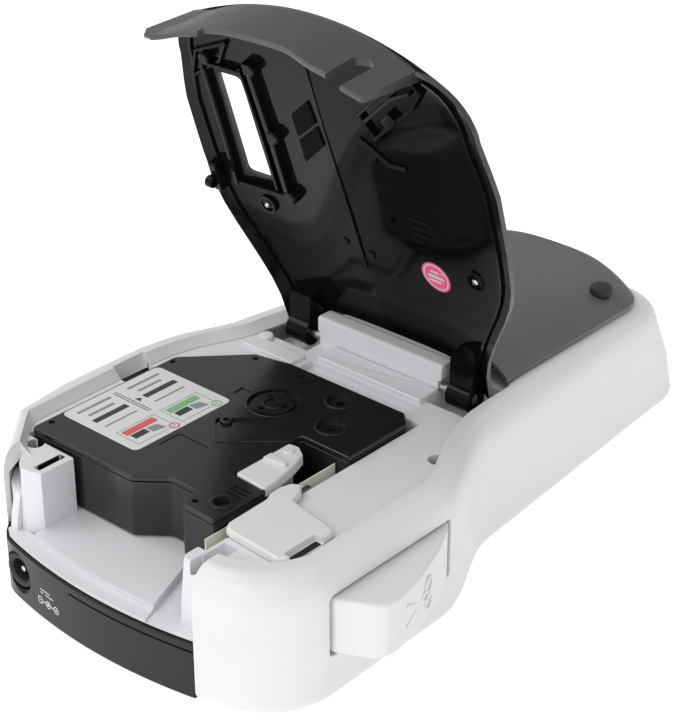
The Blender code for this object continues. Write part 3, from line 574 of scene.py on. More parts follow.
def end_panel():
    bm = prism(panel_plan(PANEL_X0, PANEL_X1, 0.25, 2.2), PANEL_Z0, PANEL_Z1)
    jack_y = panel_arc(JACK_X)
    flare = ((-3, 6.3), (0.3, 6.1), (0.8, 5.6), (6, 5.5))
    hole = bored(JACK_X, JACK_Z, [(jack_y + dy, r) for dy, r in flare])
    line = prism(panel_plan(-6.0, PANEL_X1 + 2.0, -1.0, 1.65), 14.9, 15.5)
    bm = shape(bm, cuts=[hole, line])
    soften(bm, 0.45, lambda c: c.z > PANEL_Z1 - 0.1 or c.z < PANEL_Z0 + 0.1 or c.x < PANEL_X0 + 0.1
           or c.x > PANEL_X1 - 0.1)
    piece("head_panel", bm, "panel_dark", "case", ["end_panel"])


def on_panel(x, z, r_out, r_in=0.0):
    """A flat printed ring or dot on the head panel."""
    dot = loft([[(px, panel_arc(px) + 0.25 + dy, pz) for px, pz in circle(x, z, r_out, 20)]
                for dy in (-0.03, 0.05)])
    if not r_in:
        return dot
    y = panel_arc(x) + 0.25
    return shape(dot, cuts=[bored(x, z, ((y - 2.0, r_in), (y + 2.0, r_in)), 20)])


def polarity_marks():
    x, z = JACK_X + 10.6, 6.8
    parts = [on_panel(x + dx, z, 1.15, 0.85) for dx in (0.0, 3.4, 6.8)]
    parts.append(on_panel(x + 3.4, z, 0.5))
    for x0, z0, x1, z1 in ((1.15, -0.13, 2.25, 0.13), (4.55, -0.13, 5.65, 0.13), (-0.5, -0.13, 0.5, 0.13),
                           (6.3, -0.13, 7.3, 0.13), (6.67, -0.5, 6.93, 0.5), (0.2, 2.5, 1.6, 2.8),
                           (2.4, 2.5, 5.9, 2.8), (0.2, 3.5, 4.6, 3.8)):
        parts.append(prism(panel_plan(x + x0, x + x1, 0.22, 0.08), z + z0, z + z1))
    piece("polarity_marks", merge(*parts), "mark_white", "case", slot=None)


def dc_jack():
    face_y = panel_arc(JACK_X) + 0.9

    def tube(*profile):
        return bored(JACK_X, JACK_Z, [(face_y + dy, r) for dy, r in profile], 36)

    bm = shape(tube((0.0, 4.7), (0.4, 5.1), (12.0, 5.1)),
               cuts=[tube((-1.0, 3.9), (0.0, 3.8), (0.5, 3.3), (10.0, 3.3))])
    piece("jack_body", bm, "rubber_black", "case", ["dc_jack"])
    piece("jack_pin", tube((0.9, 0.4), (1.1, 0.8), (1.5, 1.0), (10.5, 1.0)), "steel", "case")


# ---------------------------------------------------------------- chassis

BAR_HALF = 23.0


BAR_PROFILE = [(9.2, 33.0), (9.2, 44.2), (9.35, 44.75), (9.7, 45.1), (10.3, 45.2), (13.8, 45.2),
               (14.8, 45.0), (15.6, 44.5), (16.2, 43.7), (16.6, 42.7), (16.8, 41.6), (22.4, 41.2),
               (22.4, 33.0)]


def leaning(plan, z0, z1, lean):
    """A corner post whose front leans back towards its top."""
    plan = ccw(plan)
    rings = []
    for z, t in ((z0, 0.0), (z0 + 0.45 * (z1 - z0), 0.35), (z1 - 0.4, 1.0), (z1, 1.15)):
        rings.append([(x, y + (lean * t if y < -93.0 else 0.0), z) for x, y in plan])
    return loft(rings)


def chassis():
    body = prism([(x, max(y, POST_Y)) for x, y in case_outline(9.6, 9.6, 20.6)], 16.0, DECK_Z)
    sill = prism(panel_plan(-36.6, PANEL_X1 - 0.5, 1.2, 0, POST_Y + 1.0), PANEL_Z1 + 0.3, 18.6)
    front = [(x, panel_arc(x, 5.8)) for x in [-28.0 + 49.0 * i / 20 for i in range(21)]]
    step = prism(front + [(12.0, -79.0), (-28.0, -79.0)], 16.0, FLOOR_Z)
    bar = loft([[(x, y, z) for y, z in BAR_PROFILE] for x in (BAR_HALF, -BAR_HALF)])
    well = [(-45.9, -80.9), (29.2, -80.9), (29.2, -7.4), (-17.2, -7.4), (-29.3, -9.9), (-45.9, -26.6)]
    top = DECK_Z
    y0, y1 = COVER_LO[1] + 2.2, 87.7
    cuts = [box((-60.0, HEAD_Y, 18.6), (-27.4, -92.8, top + 4)),
            prism(well, FLOOR_Z, top + 4),
            box((-27.4, HEAD_Y, FLOOR_Z), (28.9, -79, top + 4)),
            prism([(21.0, HEAD_Y), (28.9, HEAD_Y), (28.9, -79.5), (12.0, -79.5)], 17.8, top),
            box((31.5, -52.0, 15.0), (48.5, -30.0, top - 2.6)),
            box((-54.0, -44.0, 34.0), (-46.6, -32.4, top + 4)),
            box((-45.0, 3.5, 30.5), (-BAR_HALF + 1.0, 22.2, top + 4)),
            box((BAR_HALF - 1.0, 3.5, 30.5), (45.0, 22.2, top + 4)),
            disc(-40.3, -82.8, 2.4, 26, top + 1), prism(rect(-31.4, -91.2, -29.0, -82.0, 0.6), 28, top + 1),
            prism(rect(30.0, -94.2, 34.6, -82.6, 0.8), 31, top + 1), disc(44.2, -18.2, 2.6, 28, top + 1),
            prism(rect(-17.0, -8.0, 23.0, 0.2, 0.0), 34.6, top + 4),
            box((28.0, -87.2, FLOOR_Z), (60.0, -84.8, 30.4)),
            box((-24.6, y0, 26.0), (24.6, y1, top + 4))]
    for node in ("roller_gear", "spindle_gear"):
        cuts.append(disc(*mm_centre(node), 2.6, 15.0, FLOOR_Z + 1))
    cuts.append(rod((0.0, HINGE_Y, HINGE_Z), 1.6, 2 * BAR_HALF + 10))
    bm = shape(body, joins=[sill, step, bar], cuts=cuts)
    soften(bm, 0.5, lambda c: top - 0.05 < c.z < top + 0.05)
    soften(bm, 0.5, lambda c: c.z > 37.2 and abs(c.x) > BAR_HALF - 0.05 and c.y < 22.6)
    soften(bm, 0.3, lambda c: (abs(c.z - 18.6) < 0.05 or abs(c.z - FLOOR_Z) < 0.05) and c.y < -88)
    piece("chassis_moulding", bm, "grey_chassis", "case", ["chassis"])
    left = [(-27.2, -81.2), (-27.2, -92.2), (-28.2, -93.4), (-31.4, -94.6), (-33.4, -94.7), (-36.0, -92.0),
            (-40.0, -87.5), (-44.4, -82.6), (-45.4, -81.2)]
    holes = [prism(rect(-31.4, -91.2, -29.0, -82.0, 0.6), 28, DECK_Z + 2),
             disc(-40.3, -82.8, 2.4, 26, DECK_Z + 2)]
    right = [(26.6, -95.0), (27.4, -96.0), (33.0, -96.4), (35.1, -97.0), (35.1, -88.4), (26.6, -88.4)]
    well = prism(rect(29.6, -94.6, 34.6, -82.6, 0.8), 31, DECK_Z + 2)
    ribs = [shape(leaning(left, 17.8, DECK_Z + 0.15, 1.2), cuts=holes),
            shape(leaning(right, 17.8, DECK_Z + 0.15, 2.0), cuts=[well])]
    corner = [(-36.2, -96.5), (-40.3, -91.9), (-44.5, -87.2), (-44.5, -82.4), (-36.0, -91.8), (-33.8, -94.3),
              (-33.6, -96.6)]
    ribs.append(leaning(corner, 17.8, 29.0, 2.2))
    strip = [(x, panel_arc(x, 2.7)) for x in [-32.0 + 67.0 * i / 24 for i in range(25)]]
    ribs.append(prism(strip + [(35.0, -79.0), (-32.0, -79.0)], 16.6, 17.9))
    ribs.append(slab(rect(-38.6, -6.4, -19.0, -0.4, 1.0), 34.4, 37.6, 0.5))
    ribs.append(slab(rect(-15.5, 0.6, 22.4, 8.9, 0.6), 34.4, 38.2, 0.6))
    piece("chassis_ribs", merge(*ribs), "grey_chassis", "case")
    knob = lathe([(2.3, 33.0), (2.3, 37.2), (2.0, 37.8), (1.4, 38.0), (0.0, 38.0)], -36.0, 1.2, 28)
    piece("bar_knob", knob, "white_shell", "case")


# ---------------------------------------------------------------- lid

CORNER_R, CORNER_X, CORNER_Y = 16.4, 34.2, -79.2
HEAD_BOW = 6.6
LID_Y1 = 11.5
VISOR_EDGE = [(-40.2, 23.0), (-38.4, 20.8), (-35.0, 19.9), (-24.0, 22.7), (-20.6, 23.5), (-20.4, 25.1),
              (-13.0, 25.7), (6.0, 25.7), (20.0, 23.2), (30.0, 21.3), (34.8, 21.1)]
ARM_X0, ARM_X1 = 26.0, 34.0


def crown(y):
    return 2.2 + 4.2 * smoothstep((y + 95.0) / 90.0) - 1.6 * smoothstep((y - 45.0) / 50.0)


def lid_half(y):
    side = case_half(y) - 6.2 - 2.2 * smoothstep((y + 50.0) / 35.0)
    if y > CORNER_Y:
        return CORNER_X + CORNER_R + (side - CORNER_X - CORNER_R) * min(1.0, (y - CORNER_Y) / 14.0)
    return CORNER_X + math.sqrt(max(0.0, CORNER_R ** 2 - (y - CORNER_Y) ** 2))


def rear_half(y):
    far = max(0.0, y - (COVER_HI[1] - 14.4))
    return 25.6 + 11.0 * math.sqrt(max(0.0, 1 - (far / 11.0) ** 2))


def skin_z(x, y, half):
    """Height of the inner face of a crowned skin."""
    return SKIN_Z + crown(y) * (1 - min(1.0, abs(x) / half(y)) ** 4)


def skin(rows, half, bow, lifts, inset=0.0):
    """A crowned sheet between two lifts above the inner face. bow(u, y) bends the rows."""
    us = [math.sin(math.pi / 2 * (i / 14 - 1)) for i in range(29)]
    bm = bmesh.new()

    def sheet(lift):
        grid = []
        for y in rows:
            xs = [(u, u * (half(y) - inset)) for u in us]
            grid.append([bm.verts.new((x, bow(u, y), skin_z(x, y, half) + lift)) for u, x in xs])
        return grid

    top, low = sheet(lifts[0]), sheet(lifts[1])
    last_row, last_column = len(rows) - 1, len(us) - 1
    for r in range(last_row):
        for c in range(last_column):
            bm.faces.new((top[r][c], top[r][c + 1], top[r + 1][c + 1], top[r + 1][c]))
            bm.faces.new((low[r][c], low[r + 1][c], low[r + 1][c + 1], low[r][c + 1]))
    for r in (0, last_row):
        for c in range(last_column):
            bm.faces.new((top[r][c], low[r][c], low[r][c + 1], top[r][c + 1]))
    for c in (0, last_column):
        for r in range(last_row):
            bm.faces.new((top[r][c], top[r + 1][c], low[r + 1][c], low[r][c]))
    return bm


def lid_rows(inset=0.0):
    head = [CORNER_Y - (CORNER_R - inset) * math.cos(math.pi / 2 * i / 10) for i in range(11)]
    return head + [-75, -70, -64, -58, -52, -46, -40, -34, -28, -22, -16, -10, -4, 2, 7, LID_Y1 - inset]


def lid_bow(u, y):
    return y - HEAD_BOW * (1 - u * u) * smoothstep((-60.0 - y) / 35.6)


def lid_edge(x):
    if abs(x) > CORNER_X:
        return CORNER_Y - math.sqrt(CORNER_R ** 2 - (abs(x) - CORNER_X) ** 2), SKIN_Z + SKIN_T / 2
    y = CORNER_Y - CORNER_R
    u = x / CORNER_X
    return y - HEAD_BOW * (1 - u * u), SKIN_Z + SKIN_T / 2 + crown(y) * (1 - u ** 4)


def visor_z(x):
    for (xa, za), (xb, zb) in zip(VISOR_EDGE, VISOR_EDGE[1:]):
        if xa <= x <= xb:
            return za + (zb - za) * smoothstep((x - xa) / (xb - xa))
    return VISOR_EDGE[-1][1]


def visor():
    xs = sorted({round(-40.2 + 75.0 * i / 44, 3) for i in range(45)} | {x for x, _ in VISOR_EDGE} | {-20.5})
    rings = []
    for x in xs:
        z = visor_z(x)
        y = -97.4 - 5.2 * (1 - (x / 40.0) ** 2)
        ye, ze = lid_edge(x)
        rings.append([(x, y - 1.9, z), (x, y - 1.1, z), (x, y - 0.7, z + 0.5), (x, ye + 2.6, ze + 0.1),
                      (x, ye + 2.2, ze + 0.72), (x, ye + 0.9, ze + 0.66), (x, ye - 0.1, ze + 0.3),
                      (x, ye - 0.75, ze - 0.5), (x, ye - 1.0, ze - 1.6), (x, y - 2.3, z + 0.6)])
    return loft(rings)


def arm(side):
    rings = []
    for x in (ARM_X0, (ARM_X0 + ARM_X1) / 2, ARM_X1):
        tops = [(y, skin_z(x, y, lid_half) + 0.6) for y in (-1.0, 5.0, LID_Y1 - 0.3)]
        profile = [(LID_Y1 - 0.3, HINGE_Z - 3.0), (8.0, HINGE_Z - 1.0), (-1.0, SKIN_Z + 0.2)] + tops
        rings.append([(side * x, y, z) for y, z in profile])
    return loft(rings)


def inner_gloss(face):
    """The lid's recessed inner face is polished; its edges and outside are satin. Its middle right of x =
    -5.6 gets a darker copy of the gloss, a painted dark reflection.
    """
    c = face.calc_center_median()
    if face.normal.z > -0.3 or c.y < -99.0 or c.z < skin_z(c.x, c.y, lid_half) - 0.8:
        return None
    # the darker gloss returned here is painted dark reflection, not a deeper part of the face
    if abs(c.x) < lid_half(c.y) - 3.4 and c.x > -5.6:
        return "lid_painted_dark_reflection"
    return "lid_black"


def rib(points, height, width):
    """A wall that hangs from the lid's inner face along a line of plan points."""
    parts = []
    profile = ((1.0, 0.2), (1.0, 0.15 - height), (0.7, -height),
               (-0.7, -height), (-1.0, 0.15 - height), (-1.0, 0.2))
    for (xa, ya), (xb, yb) in zip(points, points[1:]):
        d = Vector((xb - xa, yb - ya)).normalized() * (width / 2)
        ends = ((xa - d.x, ya - d.y, skin_z(xa, ya, lid_half)),
                (xb + d.x, yb + d.y, skin_z(xb, yb, lid_half)))
        parts.append(loft([[(x - t * d.y, y + t * d.x, z + dz) for t, dz in profile] for x, y, z in ends]))
    return merge(*parts)


def hung(points, height, edge):
    """A block that hangs from the lid's inner face."""
    cx = sum(p[0] for p in points) / len(points)
    cy = sum(p[1] for p in points) / len(points)
    z = skin_z(cx, cy, lid_half)
    return slab(points, z - height, z + 0.3, 0.0, edge)


LID_WINDOW = [(-40.3, -75.0), (-32.0, -74.6), (-33.0, -38.6), (-41.6, -39.6)]
LID_FEET = [(-37.2, -29.0), (37.6, -29.0)]


def cassette_lid():
    sheet = skin(lid_rows(), lid_half, lid_bow, (SKIN_T, -0.2))
    recess = skin(lid_rows(3.8), lid_half, lid_bow, (0.0, -6.0), inset=3.8)
    slot_z, slot_x0, slot_x1 = 35.5, 22.6, 28.2
    mid = (slot_x0 + slot_x1) / 2
    r = (slot_x1 - slot_x0) / 2
    slot_plan = [(slot_x1, 12.0), (slot_x1, slot_z - r)]
    slot_plan += [(mid + r * math.cos(math.pi * i / 12), slot_z - r + r * math.sin(math.pi * i / 12))
                  for i in range(1, 12)]
    slot_plan += [(slot_x0, slot_z - r), (slot_x0, 12.0)]
    slot_cut = loft([[(x, y, z) for x, z in slot_plan] for y in (-115.0, -95.5)])
    window = prism(fillet(LID_WINDOW, 2.2, 6), 30, 60)
    notch = box((-24.6, 7.3, 30), (24.6, 20, 60))
    bm = shape(sheet, cuts=[recess, window, notch])
    soften(bm, 0.35, lambda c: -41.8 < c.x < -31.8 and -75.2 < c.y < -38.4, sharp=50)
    soften(bm, 0.5, lambda c: c.z > skin_z(c.x, c.y, lid_half) + SKIN_T - 0.06 and
           (abs(c.x) > lid_half(c.y) - 0.2 or c.y < CORNER_Y - 1), sharp=40)
    front = shape(visor(), cuts=[slot_cut])
    arms = []
    for side in (-1, 1):
        knuckle = rod((side * (ARM_X0 + ARM_X1) / 2, HINGE_Y, HINGE_Z), 4.0, ARM_X1 - ARM_X0, 0.4)
        bore = rod((0, HINGE_Y, HINGE_Z), 1.9, 2 * ARM_X1 + 6)
        arms.append(shape(arm(side), joins=[knuckle], cuts=[bore]))
    piece("lid_arms", merge(*arms), "lid_black", "lid")
    piece("lid_shell", merge(bm, front), "lid_satin", "lid", ["cassette_lid"], "lid_black", paint=inner_gloss)


def lid_details():
    """Rails round the window, clips, pockets, foot sockets, the skirt and the pad under the lid."""
    skirt = skin(lid_rows(3.5), lid_half, lid_bow, (0.3, -0.9), inset=3.5)
    inner = skin(lid_rows(4.4), lid_half, lid_bow, (3.0, -8.0), inset=4.4)
    tail = box((-60.0, 1.0, 20.0), (60.0, 30.0, 60.0))
    nose = box((-36.0, -120.0, 20.0), (36.0, -84.0, 60.0))
    corner = box((-60.0, -120.0, 20.0), (-30.0, -70.0, RIM_Z + 0.2))
    cap = box((HOUSE_LO[0] - 2.0, -120.0, 20.0), (60.0, HOUSE_HI[1] + 2.0, HOUSE_HI[2] + 0.3))
    skirt = shape(skirt, cuts=[inner, tail, nose, corner, cap])
    piece("lid_skirt", skirt, "lid_black", "lid")
    rails = (([(-26.2, -80.5), (-26.0, -57.0), (-26.8, -34.6)], 2.2, 1.9),
             ([(-30.2, -78.4), (-30.0, -57.0), (-31.0, -36.2)], 1.4, 0.9),
             ([(-43.2, -78.0), (-44.0, -57.0), (-44.6, -36.4)], 1.8, 1.3),
             ([(-43.2, -78.2), (-30.2, -77.6)], 1.6, 1.1), ([(-44.6, -36.4), (-27.0, -35.2)], 1.6, 1.1))
    parts = [rib(*rail) for rail in rails]
    for x, y in ((-25.4, -80.4), (-24.8, -57.6), (-25.8, -35.8)):
        parts.append(hung(rect(x - 1.9, y - 1.9, x + 1.5, y + 1.9, 0.6), 2.6, 0.5))
        parts.append(hung(rect(x + 0.8, y - 1.1, x + 2.3, y + 1.1, 0.4), 2.6, 0.4))
    loop = [(-48.4, -72.5), (-44.6, -81.4), (-33.0, -86.0), (-36.9, -79.6)]
    parts.append(rib(loop + loop[:1], 1.0, 0.9))
    parts.append(hung(circle(-41.0, -80.4, 1.8, 24), 2.6, 0.5))
    clip = [(10.4, -75.6), (24.6, -88.6), (31.6, -92.4), (34.6, -89.6), (30.4, -83.6), (14.2, -69.0)]
    parts.append(rib(clip + clip[:1], 1.3, 0.9))
    parts.append(rib([(13.6, -75.4), (24.8, -85.6), (31.6, -89.2)], 2.4, 1.0))
    parts.append(hung([(18.6, -76.6), (21.6, -79.8), (24.2, -77.4), (21.2, -74.4)], 1.9, 0.5))
    parts.append(rib([(8.0, -66.0), (16.0, -60.4), (21.0, -60.8)], 0.7, 1.6))
    for x, y in LID_FEET:
        parts.append(shape(hung(circle(x, y, 3.1, 32), 0.8, 0.3),
                           cuts=[prism(circle(x, y, 2.3, 28), 20, skin_z(x, y, lid_half) + 0.02)]))
    for x, y in ((-11.0, -23.4), (-2.0, -21.6)):
        parts.append(hung(circle(x, y, 1.4, 20), 0.5, 0.2))
    parts.append(rib([(-5.4, -88.0), (-5.4, -60.0), (-5.2, -16.0)], 0.35, 0.5))
    piece("lid_inner_ribs", merge(*parts), "lid_black", "lid")
    knobs = []
    for x, y in LID_FEET:
        z = skin_z(x, y, lid_half)
        knobs.append(lathe([(0.0, z - 1.3), (0.5, z - 1.2), (0.9, z - 0.8), (1.0, z + 0.2)], x, y, 20))
    piece("lid_foot_rivets", merge(*knobs), "steel", "lid")
    hook = merge(hung(rect(-51.6, -43.0, -48.6, -33.6, 0.6), 3.0, 0.5),
                 turn(slab(circle(-50.4, -37.6, 1.8, 24), SKIN_Z - 4.4, SKIN_Z - 1.8, 0.5, 0.5),
                      (-50.4, -37.6, SKIN_Z - 3.1)))
    piece("lid_hook", hook, "lid_black", "lid")
    pads = []
    for plan in ([(-15.8, -67.4), (-8.2, -74.0), (-7.6, -66.6), (-16.0, -59.6)],
                 [(-16.0, -58.6), (-7.5, -65.6), (-7.0, -59.2), (-16.4, -50.6)]):
        rings = [[(x, y, skin_z(x, y, lid_half) - t) for x, y in fillet(plan, 0.5)] for t in (0.1, 0.55)]
        pads.append(loft(rings))
    piece("hold_down_foam", merge(*pads), "foam_black", "lid", ["hold_down_pad"])
    for (x, y), node in zip(LID_FEET, ("lid_foot_left", "lid_foot_right")):
        z = skin_z(x, y, lid_half) + SKIN_T
        profile = ((3.2, -0.8), (3.6, -0.4), (3.6, 0.6), (3.3, 1.0), (2.6, 1.2), (0.0, 1.2))
        foot = lathe([(r, z + dz) for r, dz in profile], x, y, 36)
        piece(node + "_pad", foot, "rubber_black", "lid", [node])


def round_sticker():
    """A round pink sticker with a generic ringed mark."""
    cx, cy = 21.4, -22.8

    def plate(points, drop, thick):
        rings = [[(x, y, skin_z(x, y, lid_half) - drop - t) for x, y in points] for t in (0.0, thick)]
        return loft(rings)

    piece("pink_label", plate(circle(cx, cy, 5.0, 48), 0.0, 0.08), "pink_sticker", "lid", slot="lid_black")
    marks = []
    for x0, y0, x1, y1 in ((-2.9, -0.5, 2.9, 0.5), (-2.9, 1.2, 1.6, 2.0), (-1.6, -2.1, 2.9, -1.3)):
        marks.append(plate(rect(cx + x0, cy + y0, cx + x1, cy + y1, 0.15), 0.09, 0.04))
    outer = plate(circle(cx, cy, 4.4, 40), 0.09, 0.04)
    marks.append(shape(outer, cuts=[prism(circle(cx, cy, 4.0, 40), 30, 60)]))
    piece("pink_label_marks", merge(*marks), "mark_white", "lid", slot="lid_black")
    dark = []
    for i, width in enumerate((7.0, 5.2, 6.4, 3.4, 5.0)):
        y = -43.0 + 2.6 * i
        dark.append(plate(rect(17.4, y, 17.4 + width, y + 1.0, 0.3), -0.02, 0.25))
    piece("embossed_bars", merge(*dark), "lid_black", "lid")


# ---------------------------------------------------------------- battery cover

def battery_cover():
    y0, y1 = 21.5, COVER_HI[1] - 3.4
    rows = [y0, 24, 28, 34, 41, 48, 56, 64, 72, y1 - 11.0]
    rows += [y1 - 11.0 + 11.0 * math.sin(math.pi / 2 * i / 10) * 0.985 for i in range(1, 11)]

    def bow(u, y):
        bend = 3.4 * smoothstep((y - 60.0) / 30.0) + 1.6 * smoothstep((40.0 - y) / 18.0)
        return y + (1 - u * u) * bend

    bm = skin(rows, rear_half, bow, (SKIN_T, 0.0))
    soften(bm, 0.55, lambda c: c.z > skin_z(c.x, c.y, rear_half) + SKIN_T - 0.3
           or abs(c.x) > rear_half(c.y) - 0.05, sharp=50)
    grips = []
    for i in range(3):
        y = 28.0 + 2.2 * i
        w = 7.0 - 1.2 * i
        z = skin_z(0.0, y, rear_half) + SKIN_T
        grips.append(slab(rect(-w, y - 0.4, w, y + 0.4, 0.35), z - 0.5, z + 0.35, 0.25))
    piece("rear_cover_skin", bm, "cover_satin", "rear_cover", ["battery_cover"], "panel_dark")
    piece("rear_cover_grip", merge(*grips), "cover_satin", "rear_cover", slot="panel_dark")
    for node in ("battery_foot_left", "battery_foot_right"):
        x, y = mm_centre(node)
        lo, hi = mm_box(node)
        z0, z1 = lo[2] - 0.9, hi[2]
        profile = [(2.8, z0 - 0.5), (3.4, z0 + 0.5), (3.3, z1 - 0.6), (2.9, z1 - 0.15), (2.3, z1), (0.0, z1)]
        piece(node + "_pad", lathe(profile, x, y, 36), "rubber_black", "rear_cover", [node])


# ---------------------------------------------------------------- cassette

CASSETTE = [(-45, -80), (-7, -79.4), (1, -73), (10, -73), (12, -79.6), (23.4, -80), (23.4, -61), (11.5, -61),
            (11.5, -35.5), (28.5, -35.5), (28.5, -12), (24.5, -8), (-17, -8), (-29, -10.5), (-45, -27)]
CASSETTE_RADII = [1.5, 1.5, 2.0, 1.5, 0.8, 0.8, 0.8, 1.2, 1.2, 0.8, 1.5, 1.5, 2.5, 2.0, 2.5]
SPINDLE_XY = mm_centre("spindle_gear")


def cassette():
    plan = fillet(CASSETTE, CASSETTE_RADII, 5)
    z0, z1 = CASE_BODY_LO[2], CASE_BODY_HI[2]
    hollow = [(-43.4, -78.4), (-7.8, -78.4), (0.4, -71.4), (9.9, -71.4), (9.9, -34.0), (26.9, -34.0),
              (26.9, -12.7), (23.9, -9.6), (-16.6, -9.6), (-28.3, -12.0), (-43.4, -27.4)]
    bm = shape(slab(plan, z0, z1, 0.25, 0.6),
               cuts=[prism(hollow, z0 + 1.2, z1 + 2), disc(*SPINDLE_XY, 3.2, z0 - 1, z0 + 3)])
    piece("cassette_tub", bm, "cassette_black", "cassette", ["cassette_case"])
    top, low = CAS_HI[2], CAS_LO[2]
    panel = fillet([(-11.7, -44.2), (-3.2, -52.7), (11.0, -39.9), (3.4, -30.8)], 1.2)
    cuts = [pocket(circle(19.1, -72.7, 2.2, 32), low - 1, top, 0.25), pocket(panel, top - 0.55, top, 0.2)]
    cuts += [pocket(circle(x, y, 0.85, 18), low - 1, top, 0.2)
             for x, y in ((-43.0, -74.6), (-43.4, -29.4), (-27.0, -12.6), (13.6, -76.4))]
    cuts += [pocket(rect(16.0, y, 22.0, y + 0.8, 0.3), top - 0.6, top, 0.1) for y in (-68.6, -66.9, -65.2)]
    cuts.append(pocket(rect(-10.6, -12.4, -7.4, -9.8, 0.4), top - 0.6, top, 0.15))
    cuts.append(pocket(rect(-13.2, -63.6, -2.0, -56.0, 0.8), top - 0.25, top, 0.12))
    cuts.append(washer(-5.6, -27.9, 7.2, 5.9, top - 0.6, top + 2))
    for i in range(3):
        a = math.radians(20 + 120 * i)
        blade = rect(1.6, -0.7, 4.9, 0.7, 0.3)
        turned = [(-5.6 + x * math.cos(a) - y * math.sin(a), -27.9 + x * math.sin(a) + y * math.cos(a))
                  for x, y in blade]
        cuts.append(pocket(turned, low + 0.2, top, 0.15))
    rounds = ((7.3, -15.0, 3.7, 32, top - 0.7, 0.2), (7.3, -15.0, 1.2, 24, low - 1, 0.2),
              (*SPINDLE_XY, 3.9, 36, top - 0.7, 0.25), (*SPINDLE_XY, 2.0, 28, low - 1, 0.2),
              (-8.7, -43.0, 0.9, 18, low - 1, 0.2))
    for x, y, r, count, deep, edge in rounds:
        cuts.append(pocket(circle(x, y, r, count), deep, top, edge))
    bm = shape(slab(plan, low, top, 0.45, 0.15), cuts=cuts)
    piece("cassette_top", bm, "cassette_black", "cassette", ["cassette_cover"])
    parts = []
    for x, y, r, w in ((7.3, -15.0, 4.4, 0.7), (*SPINDLE_XY, 4.7, 0.8), (-8.7, -43.0, 1.7, 0.8),
                       (19.1, -72.7, 3.2, 0.9), (-5.6, -27.9, 7.9, 0.7), (-5.6, -27.9, 3.2, 0.8)):
        parts.append(washer(x, y, r, r - w, top - 0.3, top + 0.35, 0.2))
    for x1, y0 in ((-13.6, -27.4), (-17.6, -30.8)):
        parts.append(slab(rect(-18.4, y0, x1, -26.6, 0.35), top - 0.3, top + 0.35, 0.2))
    rim = fillet([(-12.6, -44.4), (-3.2, -53.6), (11.9, -39.9), (3.6, -30.0)], 1.2)
    inner = fillet([(-11.6, -44.2), (-3.2, -52.5), (10.8, -39.9), (3.4, -31.0)], 1.2)
    parts.append(shape(slab(rim, top - 0.3, top + 0.25, 0.15), cuts=[prism(inner, top - 2, top + 2)]))
    piece("cassette_bosses", merge(*parts), "cassette_black", "cassette")
    core = washer(*SPINDLE_XY, 1.9, 1.1, low - 0.6, low + 0.5, 0.2)
    piece("hub_core", core, "cassette_black", "cassette")


def sticker():
    z = STICKER_LO[2] - 0.3
    x0, y0, x1, y1 = STICKER_LO[0], STICKER_LO[1], STICKER_HI[0], STICKER_HI[1]
    bm = slab(rect(x0, y0, x1, y1, 2.0), z, z + 0.12, 0.05)
    piece("sticker_sheet", bm, "label_paper", "cassette", ["cassette_label"])
    up = z + 0.12

    def flat(points):
        return slab(points, up - 0.03, up + 0.03, 0.01)

    def mark(a, b, c, d, r=0.12):
        return flat(rect(a, b, c, d, r))

    def printed(name, marks, look):
        piece(name, merge(*marks), look, "cassette", slot="label_paper")

    lines = []
    for x, a, b, w in ((2.6, 3.0, 15.0, 1.1), (5.8, 4.2, 13.4, 1.1), (2.8, 21.2, 33.0, 1.0),
                       (5.8, 22.4, 31.0, 1.0), (13.6, 3.2, 14.6, 0.7), (13.6, 21.4, 32.6, 0.7)):
        lines.append(mark(x0 + x, y0 + a, x0 + x + w, y0 + b))
    printed("sticker_lines", lines, "mark_grey")
    bold = [mark(x0 + 8.8, y0 + 3.0, x0 + 10.8, y0 + 15.0), mark(x0 + 8.8, y0 + 21.4, x0 + 10.8, y1 - 2.6)]
    bold += [mark(x0 + 2.2, y0 + b, x0 + 16.6, y0 + b + 0.3, 0) for b in (16.6, 17.5)]
    bold.append(flat([(x0 + 8.6, y0 + 18.8), (x0 + 11.0, y0 + 18.8), (x0 + 9.8, y0 + 20.4)]))
    printed("sticker_bold", bold, "mark_dark")
    frames, shades = [], []
    for name, look, cy in (("sticker_red_sign", "mark_red", y0 + 10.0),
                           ("sticker_green_sign", "mark_green", y0 + 26.0)):
        a, b, c, d = x1 - 10.6, cy - 7.2, x1 - 1.8, cy + 6.4
        for line in ((a, b, c, b + 0.22), (a, d - 0.22, c, d), (a, b, a + 0.22, d), (c - 0.22, b, c, d)):
            frames.append(mark(*line, 0))
        ring = shape(slab(circle(c - 0.2, d - 0.4, 1.5, 28), up + 0.01, up + 0.06, 0.01),
                     cuts=[prism(circle(c - 0.2, d - 0.4, 1.1, 24), up - 1, up + 1)])
        printed(name, [mark(a + 0.9, b + 1.0, a + 3.4, d - 1.4), ring], look)
        shades.append(mark(a + 3.8, b + 1.6, a + 6.2, b + 6.6))
        tile = ((3.8, 7.2), (6.8, 7.2), (7.6, 11.4), (4.6, 10.6))
        frames.append(flat([(a + x, b + y) for x, y in tile]))
    printed("sticker_frames", frames, "mark_grey")
    printed("sticker_shapes", shades, "mark_dark")


# ---------------------------------------------------------------- lever, cutter and button

